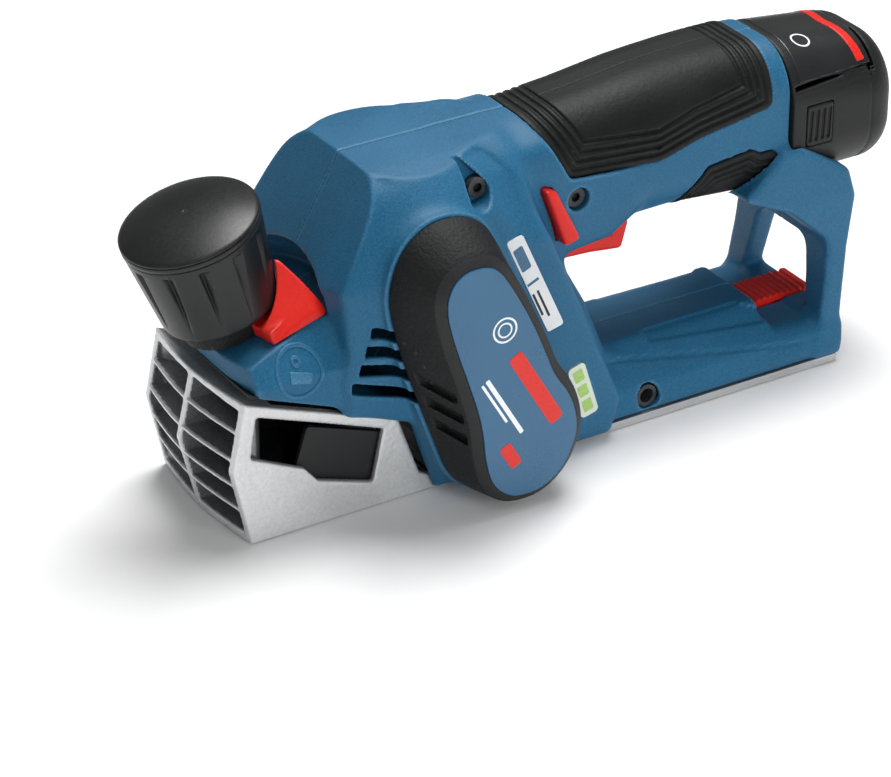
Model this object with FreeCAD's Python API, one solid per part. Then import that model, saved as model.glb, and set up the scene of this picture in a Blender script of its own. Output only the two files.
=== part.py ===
import FreeCAD, Part
import os, math
from FreeCAD import Vector as V

os.makedirs("parts", exist_ok=True)

# ---------------------------------------------------------------- driving dimensions (mm)
SOLE_HW = 29.0            # half width of the sole
SOLE_T = 2.5              # rear sole plate thickness
SOLE_X0, SOLE_X1 = -9.0, 115.0
PLANE_HW = 28.0           # half of the planing width
WALL = 2.2                # housing wall
HW = 34.0                 # half width of the motor body
DRUM = (-21.0, 22.0)      # drum axis in X, Z
DRUM_R = 20.4             # drum body radius
BLADE_R = 22.0            # cutting circle radius
MOTOR = (-39.0, 76.0)     # motor axis in X, Z
CAN_R = 20.2              # motor can radius
SHAFT_R = 2.5
PUL_M, PUL_D = 8.0, 10.0  # drive and driven pulley radii
BELT_Y0, BELT_Y1 = -50.0, -42.0
TILT = 17.0               # tilt of the depth spindle, degrees
KO = V(-96.7, 0.0, 64.0)  # reference point on the depth spindle axis
SPIN_R = 3.0
HANDLE_HW, HANDLE_Z0, HANDLE_Z1 = 21.5, 63.0, 112.0
BAT_X0, BAT_X1 = 97.6, 139.4
FIT = 0.05                # running clearance
GUIDE = (40.7, 7.7)       # parallel guide hole in X, Z

K = V(-math.sin(math.radians(TILT)), 0, math.cos(math.radians(TILT)))
E = V(math.cos(math.radians(TILT)), 0, math.sin(math.radians(TILT)))
NY = V(0, 1, 0)


# ---------------------------------------------------------------- helpers
def pt(plane, at, a, b):
    if plane == "xz":
        return V(a, at, b)
    if plane == "xy":
        return V(a, b, at)
    return V(at, a, b)


def area(pts):
    s = 0.0
    for i in range(len(pts)):
        p, q = pts[i], pts[(i + 1) % len(pts)]
        s += p[0] * q[1] - q[0] * p[1]
    return 0.5 * s


def inset(pts, d):
    """Mitre offset of a polygon, inwards for d > 0; a third value is the corner radius."""
    sgn = 1.0 if area(pts) > 0 else -1.0
    n, out = len(pts), []
    for i in range(n):
        p0, p1, p2 = pts[i - 1], pts[i], pts[(i + 1) % n]
        r = p1[2] if len(p1) > 2 else 0.0
        a = (p1[0] - p0[0], p1[1] - p0[1])
        b = (p2[0] - p1[0], p2[1] - p1[1])
        la, lb = math.hypot(*a), math.hypot(*b)
        a, b = (a[0] / la, a[1] / la), (b[0] / lb, b[1] / lb)
        na, nb = (-a[1] * sgn, a[0] * sgn), (-b[1] * sgn, b[0] * sgn)
        m = (na[0] + nb[0], na[1] + nb[1])
        k = 1.0 + na[0] * nb[0] + na[1] * nb[1]
        convex = (a[0] * b[1] - a[1] * b[0]) * sgn > 0
        rr = max(r - d, 0.0) if convex else r + d
        if r == 0.0:
            rr = 0.0
        out.append((p1[0] + m[0] / k * d, p1[1] + m[1] / k * d, rr))
    return out


def wire(pts, plane, at):
    """Closed wire through the points, each corner rounded by its own radius."""
    n, seg = len(pts), []
    for i in range(n):
        p0, p1, p2 = pts[i - 1], pts[i], pts[(i + 1) % n]
        r = p1[2] if len(p1) > 2 else 0.0
        a = (p0[0] - p1[0], p0[1] - p1[1])
        b = (p2[0] - p1[0], p2[1] - p1[1])
        la, lb = math.hypot(*a), math.hypot(*b)
        a, b = (a[0] / la, a[1] / la), (b[0] / lb, b[1] / lb)
        c = max(-1.0, min(1.0, a[0] * b[0] + a[1] * b[1]))
        th = math.acos(c)
        if r <= 0.01 or th > 3.13:
            seg.append((p1, None, p1))
            continue
        t = min(r / math.tan(th / 2), 0.46 * la, 0.46 * lb)
        r = t * math.tan(th / 2)
        s1 = (p1[0] + a[0] * t, p1[1] + a[1] * t)
        s2 = (p1[0] + b[0] * t, p1[1] + b[1] * t)
        bx, by = a[0] + b[0], a[1] + b[1]
        lb2 = math.hypot(bx, by)
        h = r / math.sin(th / 2)
        cx, cy = p1[0] + bx / lb2 * h, p1[1] + by / lb2 * h
        mid = (cx - bx / lb2 * r, cy - by / lb2 * r)
        seg.append((s1, mid, s2))
    edges = []
    for i in range(n):
        s1, mid, s2 = seg[i]
        if mid is not None:
            edges.append(Part.Arc(pt(plane, at, *s1[:2]), pt(plane, at, *mid[:2]), pt(plane, at, *s2[:2])).toShape())
        nx = seg[(i + 1) % n][0]
        A, B = pt(plane, at, *s2[:2]), pt(plane, at, *nx[:2])
        if A.distanceToPoint(B) > 1e-4:
            edges.append(Part.LineSegment(A, B).toShape())
    return Part.Wire(edges)


def prism(pts, plane, a0, a1):
    w = wire(pts, plane, a0)
    d = {"xz": V(0, a1 - a0, 0), "xy": V(0, 0, a1 - a0), "yz": V(a1 - a0, 0, 0)}[plane]
    return Part.Face(w).extrude(d)


def box(x0, x1, y0, y1, z0, z1):
    return Part.makeBox(x1 - x0, y1 - y0, z1 - z0, V(x0, y0, z0))


def cyl(p, d, r, h):
    return Part.makeCylinder(r, h, V(*p), V(*d))


def cyly(c, r, y0, y1):
    return Part.makeCylinder(r, y1 - y0, V(c[0], y0, c[1]), NY)


def ring(c, ro, ri, y0, y1):
    return cyly(c, ro, y0, y1).cut(cyly(c, ri, y0 - 1, y1 + 1))


def spun(prof, angle=360.0, start=0.0):
    """Profile of (r, s) points revolved about the spindle axis."""
    w = Part.makePolygon([KO + E * r + K * s for r, s in prof + prof[:1]])
    f = Part.Face(w)
    if start:
        f.rotate(KO, K, start)
    return f.revolve(KO, K, angle)


def fuse(shapes):
    s = shapes[0]
    for t in shapes[1:]:
        s = s.fuse(t)
    return s.removeSplitter()


def rrect(x, zc, hw, hh, r):
    p = [(-hw, zc - hh, r), (hw, zc - hh, r), (hw, zc + hh, r), (-hw, zc + hh, r)]
    return wire(p, "yz", x)


def loft(ws, ruled=True):
    return Part.makeLoft(ws, True, ruled)


def capsule_pts(c1, r1, c2, r2):
    """Outline round two circles: tangent points of both outer tangents."""
    dx, dz = c2[0] - c1[0], c2[1] - c1[1]
    L = math.hypot(dx, dz)
    th = math.atan2(dz, dx)
    al = math.acos((r1 - r2) / L)
    out = []
    for sg in (1, -1):
        a = th + sg * al
        out.append(((c1[0] + r1 * math.cos(a), c1[1] + r1 * math.sin(a)),
                    (c2[0] + r2 * math.cos(a), c2[1] + r2 * math.sin(a))))
    return out, th


def capsule(c1, r1, c2, r2, y):
    (t1, t2), th = capsule_pts(c1, r1, c2, r2)
    m1 = (c1[0] - r1 * math.cos(th), c1[1] - r1 * math.sin(th))
    m2 = (c2[0] + r2 * math.cos(th), c2[1] + r2 * math.sin(th))
    P = lambda q: V(q[0], y, q[1])
    return Part.Wire([Part.LineSegment(P(t1[0]), P(t1[1])).toShape(),
                      Part.Arc(P(t1[1]), P(m2), P(t2[1])).toShape(),
                      Part.LineSegment(P(t2[1]), P(t2[0])).toShape(),
                      Part.Arc(P(t2[0]), P(m1), P(t1[0])).toShape()])


def capsule_solid(c1, r1, c2, r2, y0, y1):
    return Part.Face(capsule(c1, r1, c2, r2, y0)).extrude(V(0, y1 - y0, 0))


def mirror_y(s):
    return s.mirror(V(0, 0, 0), V(0, 1, 0))


NODES = {}


def save(name, *shapes):
    solids = []
    for s in shapes:
        solids += [q for q in s.Solids if q.Volume > 0.5]
    shape = solids[0] if len(solids) == 1 else Part.makeCompound(solids)
    NODES[name] = shape
    shape.exportStep("parts/%s.step" % name)
    print("%-22s solids %2d  vol %9.1f  valid %s" % (name, len(solids), shape.Volume, shape.isValid()), flush=True)


# ---------------------------------------------------------------- housing outer and inner volumes
BODY = [(-72.0, 56, 3), (-72.6, 80, 10), (-64.8, 98, 12), (-53.5, 109.4, 6), (-23, 109.6, 20), (-7.5, 112, 3),
        (-3.6, 88, 6), (27.4, 14, 5), (24.3, 1.2, 3), (-41.5, 1.2, 1), (-48.8, 27, 4), (-72, 36.6)]
BODY_CS = [(-32.5, -2), (-HW, 14, 6), (-HW, 86, 10), (-25, 104, 10), (-14, 110.2, 3), (0, 112.5, 10), (14, 110.2, 3),
           (25, 104, 10), (HW, 86, 10), (HW, 14, 6), (32.5, -2)]
DECK = [(-104.6, 51.4, 1), (-105.2, 60.0, 3), (-98, 68, 3), (-60, 76), (-60, 38), (-72, 38.2)]
DECK_CS = [(-30.6, 20), (-30.6, 53, 3), (-23, 64.5, 5), (-17, 70), (17, 70), (23, 64.5, 5), (30.6, 53, 3), (30.6, 20)]
DECK_PLAN = [(-101.5, -32, 3), (-105.5, -12, 6), (-105.5, 12, 6), (-101.5, 32, 3), (-60, 34), (-60, -34)]
NECK = [(-12, 104), (20, 104), (38, 76, 4), (31, 65.0, 3), (14, 62.5, 3), (16.5, 55, 10), (23.0, 43, 8), (31, 23, 6), (52, 6), (-12, 6)]
NECK_CS = [(-19.5, 2), (-19.5, 60, 6), (-20.5, 104, 4), (20.5, 104, 4), (19.5, 60, 6), (19.5, 2)]
BASE = [(-6, 2.7), (116.2, 2.7, 2), (118.2, 15.2, 2), (93.5, 15.2, 1), (91.5, 23.2, 3), (-6, 23.2)]
BASE_CS = [(-28.8, 2), (-29.0, 6.6, 1), (-27.2, 12, 4), (-13.5, 23.3, 4), (13.5, 23.3, 4), (27.2, 12, 4), (29.0, 6.6, 1), (28.8, 2)]
PILLAR = [(107.6, 3.2), (111.2, 30), (112.2, 43.5, 9), (96, 58.0, 12), (78, 66, 2), (94, 80), (101, 80, 3), (119.5, 68.0, 4), (122.3, 58, 4), (120.2, 38, 30), (116.2, 3.2, 2)]
PILLAR_CS = [(-28.4, 3), (-26.0, 40, 20), (-26.6, 60, 5), (-25.5, 81), (25.5, 81), (26.6, 60, 5), (26.0, 40, 20), (28.4, 3)]
WINDOW = [(-17.6, 15.2, 2), (-12.6, 40.5, 6), (12.6, 40.5, 6), (17.6, 15.2, 2)]


def handle(d, x0=-16.0, x1=97.0):
    ws = []
    for x, zc, hw, hh, r in ((-16, 86.0, 21.3, 22.6, 16), (30, 87.7, 21.2, 23.7, 16), (62, 89.2, 21.4, 24.4, 16),
                             (97, 87.8, 22.2, 25.4, 16)):
        if x < x0 - 1 or x > x1 + 1:
            continue
        ws.append(rrect(x, zc, hw + d, hh + d, r + d))
    return loft(ws)


def volume(d):
    """All the housing's lumps, each inset by d, fused."""
    e = 0.6 * d
    body = prism(inset(BODY, d), "xz", -40, 40).common(prism(inset(BODY_CS, d), "yz", -80, 40))
    deck = prism(inset(DECK, d), "xz", -40, 40).common(prism(inset(DECK_CS, d), "yz", -110, -50)).common(
        prism(inset(DECK_PLAN, d), "xy", 20, 90))
    neck = prism(inset(NECK, d), "xz", -40, 40).common(prism(inset(NECK_CS, d), "yz", -20, 60))
    base = prism(inset(BASE, d), "xz", -40, 40).common(prism(inset(BASE_CS, d), "yz", -10, 120))
    hand = handle(-d * 1.2)
    vols = [body, deck, neck, base, hand]
    if d == 0:
        pil = prism(PILLAR, "xz", -40, 40).common(prism(PILLAR_CS, "yz", 60, 130))
        pil = pil.cut(prism(WINDOW, "yz", 90, 130))
        vols.append(pil)
    else:
        # hollow legs and bridge of the rear pillar
        leg = prism([(110.0, 8), (113.4, 30), (114.4, 45.5), (102, 56.6), (117.5, 57.6), (119.8, 56), (117.8, 38), (113.8, 8)], "xz", -40, 40)
        lcs = [(-25.6, 8), (-23.6, 40), (-24.2, 58), (24.2, 58), (23.6, 40), (25.6, 8), (20.0, 8), (15.0, 43), (-15.0, 43), (-20.0, 8)]
        vols.append(leg.common(prism(lcs, "yz", 90, 130)))
    return fuse(vols)


print("volumes", flush=True)
outer = volume(0)
inner = volume(WALL)
print("outer", outer.isValid(), len(outer.Solids), outer.Volume, "inner", inner.isValid(), len(inner.Solids), inner.Volume, flush=True)

# flange under the belt cover
flange = capsule_solid(MOTOR, 22.8, DRUM, 20.9, -37.8, -30.0)
outer = outer.fuse(flange)

# swing space of the chip lever round the spindle, and its wall
swing = spun([(0, -3.0), (33.0, -3.0), (33.0, 3.2), (25.8, 14.6), (0, 14.6)])
swing_in = spun([(0, -5.2), (35.2, -5.2), (35.2, 4.0), (28.2, 17.0), (0, 17.0)])
outer = outer.cut(swing)
inner = inner.cut(swing_in)

# drum chamber
chamber = cyly(DRUM, 23.6, -SOLE_HW - 0.35, SOLE_HW + 0.35)
chamber_w = cyly(DRUM, 25.9, -HW + 0.01, HW - 0.01)
inner = inner.cut(chamber_w)
mouth = box(-56, -8.6, -SOLE_HW - 0.35, SOLE_HW + 0.35, -1, 14)
shell = outer.cut(inner)
print("shell", shell.isValid(), len(shell.Solids), shell.Volume, flush=True)

# shoe clearance below the sloped lower edge of the front
SHOE = [(-105.0, 0.0, 1), (-110.4, 26.5, 2), (-105.6, 49.0, 2), (-52.9, 28.5, 2), (-45.6, 7.2, 2), (-38.6, 3.0, 0.5), (-33.0, 2.4), (-33.0, 0.0)]
room = [(-120, -5), (-120, 52.4), (-105.0, 52.4), (-50.0, 31.0), (-42.2, 8.4), (-36.0, 5.2), (-28, 5.2), (-28, -5)]
shell = shell.cut(prism(room, "xz", -SOLE_HW - 0.35, SOLE_HW + 0.35))
inner = inner.cut(prism([(-120, -5), (-120, 54.6), (-104.0, 54.6), (-48.4, 32.6), (-40, 9), (-40, -5)], "xz", -40, 40))

# plates closing the inside above the shoe and round the drum chamber
floor_plate = prism([(-103, 52.5), (-49.9, 31.1), (-43, 12), (-40.4, 12), (-47.9, 32.9), (-103, 54.7)], "xz", -30, 30)
shell = shell.fuse(floor_plate.common(outer).cut(chamber_w))
shell = shell.cut(chamber).cut(mouth)
print("shell2", shell.isValid(), len(shell.Solids), shell.Volume, flush=True)

# ---------------------------------------------------------------- housing features
shell = shell.cut(box(-58, -36, -26.0, 26.0, 5.2, 27.0))            # chips leave the drum chamber forwards
shell = shell.cut(box(-12, 121, -SOLE_HW - 0.35, SOLE_HW + 0.35, -1, 2.7))
hub = spun([(SPIN_R + FIT, -8.0), (9.0, -8.0), (9.0, 3.3), (SPIN_R + FIT, 3.3)])
shell = shell.fuse(hub).cut(cyl(KO + K * -8.2, K, SPIN_R + FIT, 12.0))
shell = shell.cut(cyl(KO + K * -40, K, 3.9, 31.9))                   # spindle way through the plate below

adds, cuts = [], []
# guide pins of the shoe: blind bosses above the plate
PINS = [KO + E * 14.0 + V(0, y, 0) for y in (-19.0, 19.0)]
for p in PINS:
    adds.append(cyl(p + K * -29.5, K, 4.0, 11.0).cut(prism(room, "xz", -29, 29)))
    cuts.append(cyl(p + K * -35.0, K, 2.02, 15.0))
# motor bearing seats
adds.append(cyly(MOTOR, 9.6, -37.0, -28.6))
adds.append(cyly(MOTOR, 9.6, 27.6, 33.0))
cuts.append(cyly(MOTOR, 6.52, -34.3, -28.0))
cuts.append(cyly(MOTOR, 4.0, -40, -30))
cuts.append(cyly(MOTOR, 6.52, 27.0, 31.9))
# drum bearing seats
cuts.append(cyly(DRUM, 8.02, -34.2, -28.0))
cuts.append(cyly(DRUM, 5.2, -40, -30))
cuts.append(cyly(DRUM, 8.02, 28.0, 33.2))
# motor can cradle ribs
for y in (-17.0, 9.0):
    adds.append(box(-74.0, -14.0, y, y + 2.2, 62.0, 111.0).common(outer).cut(cyly(MOTOR, CAN_R + 0.06, y - 1, y + 4)))
# clamshell screws: x, z, y of the head seat, side
SCREWS = [(16.2, 83.0, -19.0, 1), (-22.6, 98.6, -24.0, 1), (31.0, 12.6, 22.0, -1), (106.5, 55.0, 22.5, -1)]
for x, z, y, s in SCREWS:
    a, b = (y - 14, 32.0) if s > 0 else (-32.0, y + 14)
    adds.append(cyly((x, z), 4.9, a, b).common(outer))
    cuts.append(cyly((x, z), 3.6, y - 22, y) if s > 0 else cyly((x, z), 3.6, y, y + 22))
    cuts.append(cyly((x, z), 1.55, y - 1, y + 21) if s > 0 else cyly((x, z), 1.55, y - 21, y + 1))
# drop-shaped approach of the upper screw
cuts.append(prism([(-26.6, 100.5, 3.5), (-22.6, 91.0, 4), (-18.8, 100.5, 3.5)], "xz", -45, -26.5))
# sole screws
SOLE_SCREWS = [(12.0, -19.0), (12.0, 19.0), (99.5, -19.0), (99.5, 19.0)]
for x, y in SOLE_SCREWS:
    adds.append(Part.makeCylinder(3.9, 10.0, V(x, y, 2.7)).common(outer))
    cuts.append(Part.makeCylinder(1.55, 9.0, V(x, y, 2.0)))
# parallel guide insert bosses
for s in (-1, 1):
    y0, y1 = (-28.9, -14.0) if s < 0 else (14.0, 28.9)
    adds.append(box(35.2, 46.2, y0, y1, 2.7, 13.2).common(outer))
    cuts.append(cyly(GUIDE, 3.82, -27.3, -16.6) if s < 0 else cyly(GUIDE, 3.82, 16.6, 27.3))
    cuts.append(cyly(GUIDE, 4.4, -31, -27.2) if s < 0 else cyly(GUIDE, 4.4, 27.2, 31))
# key tunnel and channel in the rear deck
adds.append(box(89.5, 117.9, -9.8, 9.8, 4.0, 15.2).common(outer))
adds.append(box(60.0, 91.0, -3.5, 3.5, 9.6, 16.2))
cuts.append(box(94.6, 130, -7.65, 7.65, 9.8, 20))
cuts.append(cyl((62, 0, 12.9), (1, 0, 0), 2.1, 40))
# board posts
for x in (48.0, 86.0):
    for y in (-16.0, 16.0):
        adds.append(Part.makeCylinder(2.0, 3.9, V(x, y, 3.0)))
# trigger slot and pivot bosses
TP = (21.5, 64.2)
for y0, y1 in ((-12.5, -8.5), (8.5, 12.5)):
    adds.append(cyly(TP, 4.3, y0, y1))
    cuts.append(cyly(TP, 2.05, y0 + 2.0, y1 + 0.2) if y0 < 0 else cyly(TP, 2.05, y0 - 0.2, y1 - 2.0))
cuts.append(box(17.6, 47.6, -8.4, 8.4, 46, 70.5))
cuts.append(Part.Face(rrect(92.0, 87.6, 18.5, 18.2, 9.9)).extrude(V(8, 0, 0)))
# lock-off windows
LOCK = [(1.7, 91.0, 1.5), (6.1, 89.4, 1.5), (15.1, 71.2, 1.5), (9.3, 69.6, 1.5)]
cuts.append(prism(inset(LOCK, -0.25), "xz", -30, 30))
# battery socket
BZ, BHW, BHH = 87.1, 23.6, 24.5
cuts.append(Part.Face(rrect(97.2, BZ, BHW + 0.35, BHH + 0.35, 15.3)).extrude(V(60, 0, 0)))
# air vents in both sides
for xl, zl, xr, zr in ((-66.4, 64.8, -58.2, 62.2), (-68.6, 59.8, -56.3, 55.2), (-70.8, 54.4, -54.4, 47.9), (-72.6, 49.0, -52.4, 40.4)):
    v = [(xl, zl, 1), (xr, zr, 1), (xr + 0.2, zr - 3.0, 1), (xl - 0.4, zl - 3.0, 1)]
    cuts.append(prism(v, "xz", -40, -29.4))
    cuts.append(prism(v, "xz", 29.4, 40))
# label and indicator recesses
LABEL = [(-17.2, 81.8, 1), (-11.2, 82.8, 1), (4.1, 47.9, 1), (-1.8, 46.5, 1)]
LENS = [(5.4, 30.4, 1.5), (11.6, 32.2, 1.5), (17.4, 13.2, 1.5), (11.0, 11.6, 1.5)]
cuts.append(prism(inset(LABEL, -0.1), "xz", -36, -33.6))
cuts.append(prism(inset(LENS, -0.1), "xz", -36, -33.1))
cuts.append(prism(inset(LENS, 1.6), "xz", -34, -31.0))
# round raised ring on the near deck flank
# shoe side walls and inner lands
for a in adds:
    shell = shell.fuse(a)
shell = shell.cut(chamber)
print("adds", shell.isValid(), len(shell.Solids), flush=True)
for c in cuts:
    shell = shell.cut(c)
print("cuts", shell.isValid(), len(shell.Solids), flush=True)

# soft grips and rear pads let into the handle
GRIP = [(13.5, 90.2, 4), (47.8, 87.4, 14), (62.9, 91.7, 14), (89.7, 96.2, 3), (90.6, 120), (0.5, 120), (2.0, 111.5, 6)]
PAD = [(58.0, 60.0), (59.5, 71.0, 2), (66.0, 80.4, 3), (82.5, 82.6, 3), (90.5, 81.2, 3), (96.0, 75.5, 2), (96.0, 60.0)]
skin = handle(0.55).cut(handle(-0.95)).common(box(-3.5, 96.4, -40, 40, 55, 120))
nest = handle(0.9).cut(handle(-1.0)).common(box(-3.7, 96.6, -40, 40, 55, 120))
screwroom = [cyly((16.2, 83.0), 5.6, -40, 40)]
grip = skin.common(prism(GRIP, "xz", -40, 40))
shell = shell.cut(nest.common(prism(inset(GRIP, -0.12), "xz", -40, 40)))
pad = skin.common(prism(PAD, "xz", -40, 40)).cut(box(50, 100, -9.0, 9.0, 50, 80))
shell = shell.cut(nest.common(prism(inset(PAD, -0.12), "xz", -40, 40)).cut(box(50, 100, -8.9, 8.9, 50, 80)))
print("nested", shell.isValid(), len(shell.Solids), flush=True)

cutL = box(-200, 200, -100, -0.02, -50, 200)
cutR = box(-200, 200, 0.02, 100, -50, 200)


def biggest(s):
    q = sorted(s.Solids, key=lambda t: -t.Volume)
    print("   pieces", [round(t.Volume, 1) for t in q][:8], flush=True)
    return q[0]


save("housing_left", biggest(shell.common(cutL)))
save("housing_right", biggest(shell.common(cutR)))
save("grip_left", biggest(grip.common(cutL)))
save("grip_right", biggest(grip.common(cutR)))
save("rear_grip_pads", pad)

# ---------------------------------------------------------------- screws
scr = []
for x, z, y, s in SCREWS:
    if s > 0:
        h = cyly((x, z), 3.3, y - 2.4, y - 0.03).fuse(cyly((x, z), 1.5, y - 1, y + 20))
        h = h.cut(cyly((x, z), 1.5, y - 3, y - 1.2))
    else:
        h = cyly((x, z), 3.3, y + 0.03, y + 2.4).fuse(cyly((x, z), 1.5, y - 20, y + 1))
        h = h.cut(cyly((x, z), 1.5, y + 1.2, y + 3))
    scr.append(h)
save("housing_screws", *scr)

# ---------------------------------------------------------------- rear sole
sole = box(SOLE_X0, SOLE_X1, -SOLE_HW, SOLE_HW, 0, SOLE_T + 0.1)
sole = sole.cut(prism([(SOLE_X0 - 1, 1.2), (SOLE_X0 + 2.6, 3.2), (SOLE_X0 - 1, 3.2)], "xz", -40, 40))
ss = []
for x, y in SOLE_SCREWS:
    cone = Part.makeCone(3.6, 1.65, 1.9, V(x, y, 0.5)).fuse(Part.makeCylinder(3.6, 1.0, V(x, y, -0.4)))
    sole = sole.cut(cone).cut(Part.makeCylinder(1.65, 4, V(x, y, 0)))
    s = Part.makeCone(3.5, 1.5, 1.9, V(x, y, 0.42)).fuse(Part.makeCylinder(1.5, 8.0, V(x, y, 2.0)))
    ss.append(s.cut(Part.makeCylinder(1.3, 1.2, V(x, y, 0))))
save("rear_sole", sole)
save("rear_sole_screws", *ss)
ins = []
for s in (-1, 1):
    y0, y1 = (-27.0, -17.0) if s < 0 else (17.0, 27.0)
    ins.append(ring(GUIDE, 3.8, 2.5, y0, y1))
save("guide_inserts", *ins)

# ---------------------------------------------------------------- belt cover
cov = loft([capsule(MOTOR, 22.0, DRUM, 20.6, -38.0), capsule(MOTOR, 21.0, DRUM, 20.4, -48.5)])
cov = cov.fuse(loft([capsule(MOTOR, 21.0, DRUM, 20.4, -48.5), capsule(MOTOR, 15.2, DRUM, 18.6, -55.0)]))
cin = loft([capsule(MOTOR, 20.2, DRUM, 18.8, -37.0), capsule(MOTOR, 19.0, DRUM, 18.4, -48.2)])
cin = cin.fuse(loft([capsule(MOTOR, 19.0, DRUM, 18.4, -48.2), capsule(MOTOR, 14.5, DRUM, 16.8, -52.9)]))
cover = cov.removeSplitter().cut(cin)
CS = [(-30.0, 49.0), (-46.0, 89.0)]
for c in CS:
    cover = cover.fuse(cyly(c, 3.2, -53.5, -38.1).common(cov))
for c in CS:
    cover = cover.cut(cyly(c, 1.6, -60, -37)).cut(cyly(c, 2.8, -60, -52.4))
BC1, BC2, BR1, BR2 = (-38.6, 74.6), (-21.2, 22.0), 11.6, 16.6
cover = cover.cut(capsule_solid(BC1, BR1 + 0.1, BC2, BR2 + 0.1, -56, -54.2))
for i in range(3):                                                    # slanted vents in the bevelled rim
    z = 48.0 - 8.4 * i
    x = -56.5 + 2.4 * i
    cover = cover.cut(prism([(x - 3, z + 3.2), (x + 11.5, z - 3.6), (x + 11.5, z - 6.4), (x - 3, z + 0.4)], "xz", -51.5, -43.0))
save("belt_cover", biggest(cover))
save("belt_cover_badge", capsule_solid(BC1, BR1, BC2, BR2, -54.9, -54.25))
csc = []
for c in CS:
    csc.append(cyly(c, 2.6, -54.1, -52.45).fuse(cyly(c, 1.5, -53, -38.2)))
save("belt_cover_screws", *csc)
save("spec_label", prism(LABEL, "xz", -34.15, -33.65))
save("charge_indicator", prism(LENS, "xz", -34.4, -33.15))
save("indicator_leds", box(7.6, 15.2, -30.8, -29.6, 14.0, 30.0))

# ---------------------------------------------------------------- drum, blade and driven pulley
dcore = cyly(DRUM, DRUM_R, -PLANE_HW, PLANE_HW)
BA = math.radians(118.0)                                              # angle of the blade tip at rest
bt = V(math.cos(BA), 0, math.sin(BA))                                 # outward at the blade
bn = V(math.sin(BA), 0, -math.cos(BA))                                # along the cut


def local(x0, x1, n0, n1, y0, y1):
    """Block in the blade's frame: x along the radius, n along the cut."""
    c = V(DRUM[0], 0, DRUM[1])
    p = [c + bt * x0 + bn * n0, c + bt * x1 + bn * n0, c + bt * x1 + bn * n1, c + bt * x0 + bn * n1]
    p = [q + V(0, y0, 0) for q in p]
    return Part.Face(Part.makePolygon(p + p[:1])).extrude(V(0, y1 - y0, 0))


drum = dcore.cut(local(13.0, 24.0, -7.6, 0.0, -29, 29))
for y in (-16.0, 0.0, 16.0):
    c = V(DRUM[0], y, DRUM[1]) + bt * 16.6
    drum = drum.cut(Part.makeCylinder(1.3, 14, c - bn * 0.2, bn))
drum = drum.fuse(cyly(DRUM, 4.0, -50.6, 33.0)).fuse(cyly(DRUM, 6.0, -29.2, 28.9))
drum = drum.cut(cyly(DRUM, 1.2, -51, -46))
save("cutter_drum", drum)
save("planer_blade", local(14.6, BLADE_R - 0.02, -1.15, -0.03, -PLANE_HW + 0.2, PLANE_HW - 0.2).cut(
    Part.makeCylinder(0.1, 1, V(500, 0, 0))))
clamp = local(13.05, 19.4, -4.2, -1.2, -PLANE_HW + 0.4, PLANE_HW - 0.4)
blade = local(14.6, BLADE_R - 0.02, -1.15, -0.03, -PLANE_HW + 0.2, PLANE_HW - 0.2)
bs = []
for y in (-16.0, 0.0, 16.0):
    c = V(DRUM[0], y, DRUM[1]) + bt * 16.6
    clamp = clamp.cut(Part.makeCylinder(1.3, 8, c - bn * 6.0, bn))
    blade = blade.cut(Part.makeCylinder(1.3, 4, c - bn * 2.0, bn))
    s = Part.makeCylinder(1.25, 13.0, c - bn * 4.2, bn).fuse(Part.makeCylinder(2.4, 1.6, c - bn * 5.85, bn))
    bs.append(s.cut(Part.makeCylinder(0.9, 1.0, c - bn * 6.0, bn)))
save("planer_blade", blade)
save("blade_clamp", clamp)
save("blade_screws", *bs)
pul = ring(DRUM, PUL_D, 4.02, BELT_Y0 - 0.5, BELT_Y1 + 0.5).fuse(ring(DRUM, PUL_D + 1.6, 4.02, BELT_Y1 + 0.5, BELT_Y1 + 1.6))
save("driven_pulley", pul)
save("drum_bearings", ring(DRUM, 8.0, 4.03, -34.0, -29.6), ring(DRUM, 8.0, 4.03, 29.5, 33.1))

# ---------------------------------------------------------------- motor
rot = cyly(MOTOR, SHAFT_R, -50.6, 31.6).fuse(cyly(MOTOR, 11.0, -15.5, 15.5)).fuse(cyly(MOTOR, 4.2, -27.6, 15.5))
save("motor_rotor", rot)
save("drive_pulley", ring(MOTOR, PUL_M, SHAFT_R + 0.01, BELT_Y0 - 0.5, BELT_Y1 + 0.5).fuse(
    ring(MOTOR, PUL_M + 1.6, SHAFT_R + 0.01, BELT_Y1 + 0.5, BELT_Y1 + 1.6)))
fan = ring(MOTOR, 6.5, SHAFT_R + 0.01, 19.6, 25.6).fuse(ring(MOTOR, 18.6, SHAFT_R + 0.01, 19.6, 20.8))
for i in range(14):
    b = box(MOTOR[0] + 6.0, MOTOR[0] + 18.0, -0.5 + 0, 0.5, 0, 1)
    b = Part.makeBox(12.2, 4.6, 0.9, V(MOTOR[0] + 6.2, 20.6, MOTOR[1] - 0.45))
    b.rotate(V(MOTOR[0], 0, MOTOR[1]), NY, i * 360.0 / 14)
    fan = fan.fuse(b)
save("cooling_fan", fan)
st = ring(MOTOR, CAN_R - 1.25, 11.5, -13.0, 13.0)
for i in range(6):
    b = Part.makeBox(3.6, 28, 2.4, V(MOTOR[0] + 12.6, -14, MOTOR[1] - 1.2))
    b.rotate(V(MOTOR[0], 0, MOTOR[1]), NY, 30 + i * 60)
    st = st.cut(b)
save("motor_stator", st)
can = ring(MOTOR, CAN_R, CAN_R - 1.2, -21.0, 17.5).fuse(ring(MOTOR, CAN_R, 5.0, -22.4, -21.0))
for i in range(6):
    c = cyly((MOTOR[0] + 13, MOTOR[1]), 2.6, -24, -20)
    c.rotate(V(MOTOR[0], 0, MOTOR[1]), NY, i * 60)
    can = can.cut(c)
save("motor_can", can)
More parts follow.
